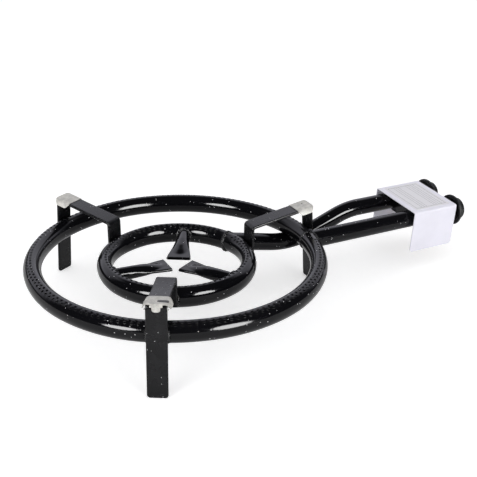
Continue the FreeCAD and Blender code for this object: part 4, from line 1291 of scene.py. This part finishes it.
class BurnerKnobs(bpy.types.Operator):
    """Add both fluted knobs"""
    bl_idname = "burner.knobs"
    bl_label = "Knobs"

    def execute(self, context):
        plastic = plastic_material()
        for name in KNOB_CENTRES:
            add_piece(name + "_grip", knob_skin(name), name, plastic, [name])
        return {"FINISHED"}


CAMERA_PLACE = (-0.397279, -0.931408, 0.576014)
CAMERA_ROWS = ((0.88832614, -0.4589986, 0.01403422), (0.18292997, 0.38173605, 0.90598798),
               (-0.42120458, -0.80224552, 0.42307071))
CAMERA_LENS = 63.83
CAMERA_SENSOR = 36
CAMERA_CLIP = (0.05, 50)
STUDIO_MIDDLE = Vector((0.1, 0.0, 0.08))


def add_camera():
    """Camera at the photograph's angle: its axes are the columns of its matrix."""
    data = bpy.data.cameras.new("studio_camera")
    data.lens = CAMERA_LENS
    data.sensor_width = CAMERA_SENSOR
    data.clip_start, data.clip_end = CAMERA_CLIP
    camera = bpy.data.objects.new("studio_camera", data)
    camera.matrix_world = Matrix.Translation(CAMERA_PLACE) @ Matrix(CAMERA_ROWS).transposed().to_4x4()
    bpy.context.scene.collection.objects.link(camera)
    bpy.context.scene.camera = camera


def add_softbox(name, azimuth, elevation):
    """Square softbox that faces the object: its power is the radiance times pi times its area."""
    data = bpy.data.lights.new(name, "AREA")
    data.shape = "SQUARE"
    data.size = SOFTBOX_SIDE
    data.energy = SOFTBOX_RADIANCE * math.pi * SOFTBOX_SIDE ** 2
    lamp = bpy.data.objects.new(name, data)
    azimuth, elevation = math.radians(azimuth), math.radians(elevation)
    towards = Vector((math.cos(azimuth) * math.cos(elevation), math.sin(azimuth) * math.cos(elevation),
                      math.sin(elevation)))
    lamp.matrix_world = (Matrix.Translation(STUDIO_MIDDLE + towards * SOFTBOX_DISTANCE)
                         @ towards.to_track_quat("Z", "Y").to_matrix().to_4x4())
    lamp.visible_camera = False
    lamp.visible_glossy = False
    bpy.context.scene.collection.objects.link(lamp)


# Azimuth and elevation of the softboxes, and the spans of their glare, in degrees
SOFTBOXES = {"left_softbox": (-154, 19, 27, 26), "right_softbox": (-76, 13, 30, 36)}
SOFTBOX_GLARE = 28.0
SOFTBOX_DISTANCE = 2.0
SOFTBOX_SIDE = 0.95
SOFTBOX_RADIANCE = 4.0
# Sides of the backdrop as azimuths in radians, and its foot and top as heights of a unit direction
BACKDROP_RIGHT, BACKDROP_LEFT = (-0.1, 0.3), (2.2, 2.6)
BACKDROP_FOOT, BACKDROP_TOP = (0.09, 0.17), (0.64, 0.80)
BACKDROP_COLOUR = (1.15, 1.15, 1.28, 1)
ROOM_COLOUR = (0.05, 0.05, 0.056, 1)
MATT_LIGHT = (0.70, 0.70, 0.71, 1)
WHITE = (1, 1, 1, 1)
FLOOR_REACH = 4.0
FLOOR_OWN_LIGHT = 0.42


def softbox_patch(azimuth, height, softbox):
    """Mask of a softbox as gloss sees it, given by its middle azimuth and elevation and its spans: an
    ellipse, the sum of the squares of the places across and up in half spans, eased at its rim."""
    middle, elevation, wide, tall = (math.radians(value) for value in softbox)
    across = (azimuth - middle) / (wide / 2)
    level = (height - math.sin(elevation)) / (math.cos(elevation) * tall / 2)
    return 1 - (across * across + level * level).eased(0.78, 1.0)


def add_world():
    """White background for the camera, even light for matt surfaces, and for gloss a dark room with
    a bright backdrop behind the object and the glare of the softboxes."""
    world = bpy.data.worlds.new("studio")
    world.use_nodes = True
    bpy.context.scene.world = world
    finish = Finish(world.node_tree)
    background = world.node_tree.nodes["Background"]
    direction = finish.node("ShaderNodeTexCoord", output="Generated")
    x, y, height = (finish.node("ShaderNodeSeparateXYZ", None, {"Vector": direction}, axis)
                    for axis in ("X", "Y", "Z"))
    azimuth = y.math("ARCTAN2", y, x)
    backdrop = azimuth.eased(*BACKDROP_RIGHT) * (1 - azimuth.eased(*BACKDROP_LEFT))
    backdrop = backdrop * height.eased(*BACKDROP_FOOT) * (1 - height.eased(*BACKDROP_TOP))
    room = finish.mix(backdrop, ROOM_COLOUR, BACKDROP_COLOUR)
    glare = (SOFTBOX_GLARE,) * 3 + (1,)
    for patch in SOFTBOXES.values():
        room = finish.mix(softbox_patch(azimuth, height, patch), room, glare)
    camera = finish.node("ShaderNodeLightPath", output="Is Camera Ray")
    glossy = finish.node("ShaderNodeLightPath", output="Is Glossy Ray")
    light = finish.mix(glossy, MATT_LIGHT, room)
    finish.feed(background.inputs["Color"], finish.mix(camera, light, WHITE))


def add_floor():
    """Pale floor, lit as any matt sheet, with a little light of its own for the camera."""
    reach = FLOOR_REACH
    mesh = bpy.data.meshes.new("studio_floor")
    corners = [(-reach, -reach, 0), (reach, -reach, 0), (reach, reach, 0), (-reach, reach, 0)]
    mesh.from_pydata(corners, [], [(0, 1, 2, 3)])
    material, finish, sockets = new_material("studio_floor", {"Roughness": 0.9, "Specular IOR Level": 0.1,
                                                              "Base Color": rgba(finishes().floor),
                                                              "Emission Color": WHITE})
    camera = finish.node("ShaderNodeLightPath", output="Is Camera Ray")
    finish.feed(sockets["Emission Strength"], camera * FLOOR_OWN_LIGHT)
    mesh.materials.append(material)
    floor = bpy.data.objects.new("studio_floor", mesh)
    bpy.context.scene.collection.objects.link(floor)


class BurnerStage(bpy.types.Operator):
    """Add the floor, the lamps, the world and the camera"""
    bl_idname = "burner.stage"
    bl_label = "Studio"

    def execute(self, context):
        add_floor()
        add_world()
        for name, (azimuth, elevation, *_) in SOFTBOXES.items():
            add_softbox(name, azimuth, elevation)
        add_camera()
        context.scene.view_settings.view_transform = "Standard"
        return {"FINISHED"}


OPERATORS = (BurnerRings, BurnerFeeds, BurnerJets, BurnerSupports, BurnerClips, BurnerWelds,
             BurnerBracket, BurnerTaps, BurnerKnobs, BurnerStage)


class BurnerPanel(bpy.types.Panel):
    """Sizes, finishes and pieces of the burner"""
    bl_idname = "VIEW3D_PT_burner"
    bl_label = "Paella Burner"
    bl_space_type = "VIEW_3D"
    bl_region_type = "UI"
    bl_category = "Burner"

    def draw(self, context):
        layout = self.layout
        for group in (context.scene.burner_sizes, context.scene.burner_finishes):
            column = layout.column(align=True)
            for key in group.__annotations__:
                column.prop(group, key)
        column = layout.column(align=True)
        for operator in OPERATORS:
            column.operator(operator.bl_idname)


CLASSES = (BurnerSizes, BurnerFinishes) + OPERATORS + (BurnerPanel,)


def register():
    """Adds the classes, and the sizes and finishes to the scene."""
    for each in CLASSES:
        bpy.utils.register_class(each)
    bpy.types.Scene.burner_sizes = bpy.props.PointerProperty(type=BurnerSizes)
    bpy.types.Scene.burner_finishes = bpy.props.PointerProperty(type=BurnerFinishes)


def unregister():
    """Takes all of it away again."""
    del bpy.types.Scene.burner_finishes
    del bpy.types.Scene.burner_sizes
    for each in reversed(CLASSES):
        bpy.utils.unregister_class(each)


def main():
    """Builds every piece and the studio."""
    register()
    bpy.ops.burner.rings()
    bpy.ops.burner.feeds()
    bpy.ops.burner.jets()
    bpy.ops.burner.supports()
    bpy.ops.burner.clips()
    bpy.ops.burner.welds()
    bpy.ops.burner.bracket()
    bpy.ops.burner.taps()
    bpy.ops.burner.knobs()
    bpy.ops.burner.stage()


if __name__ == "__main__":
    main()
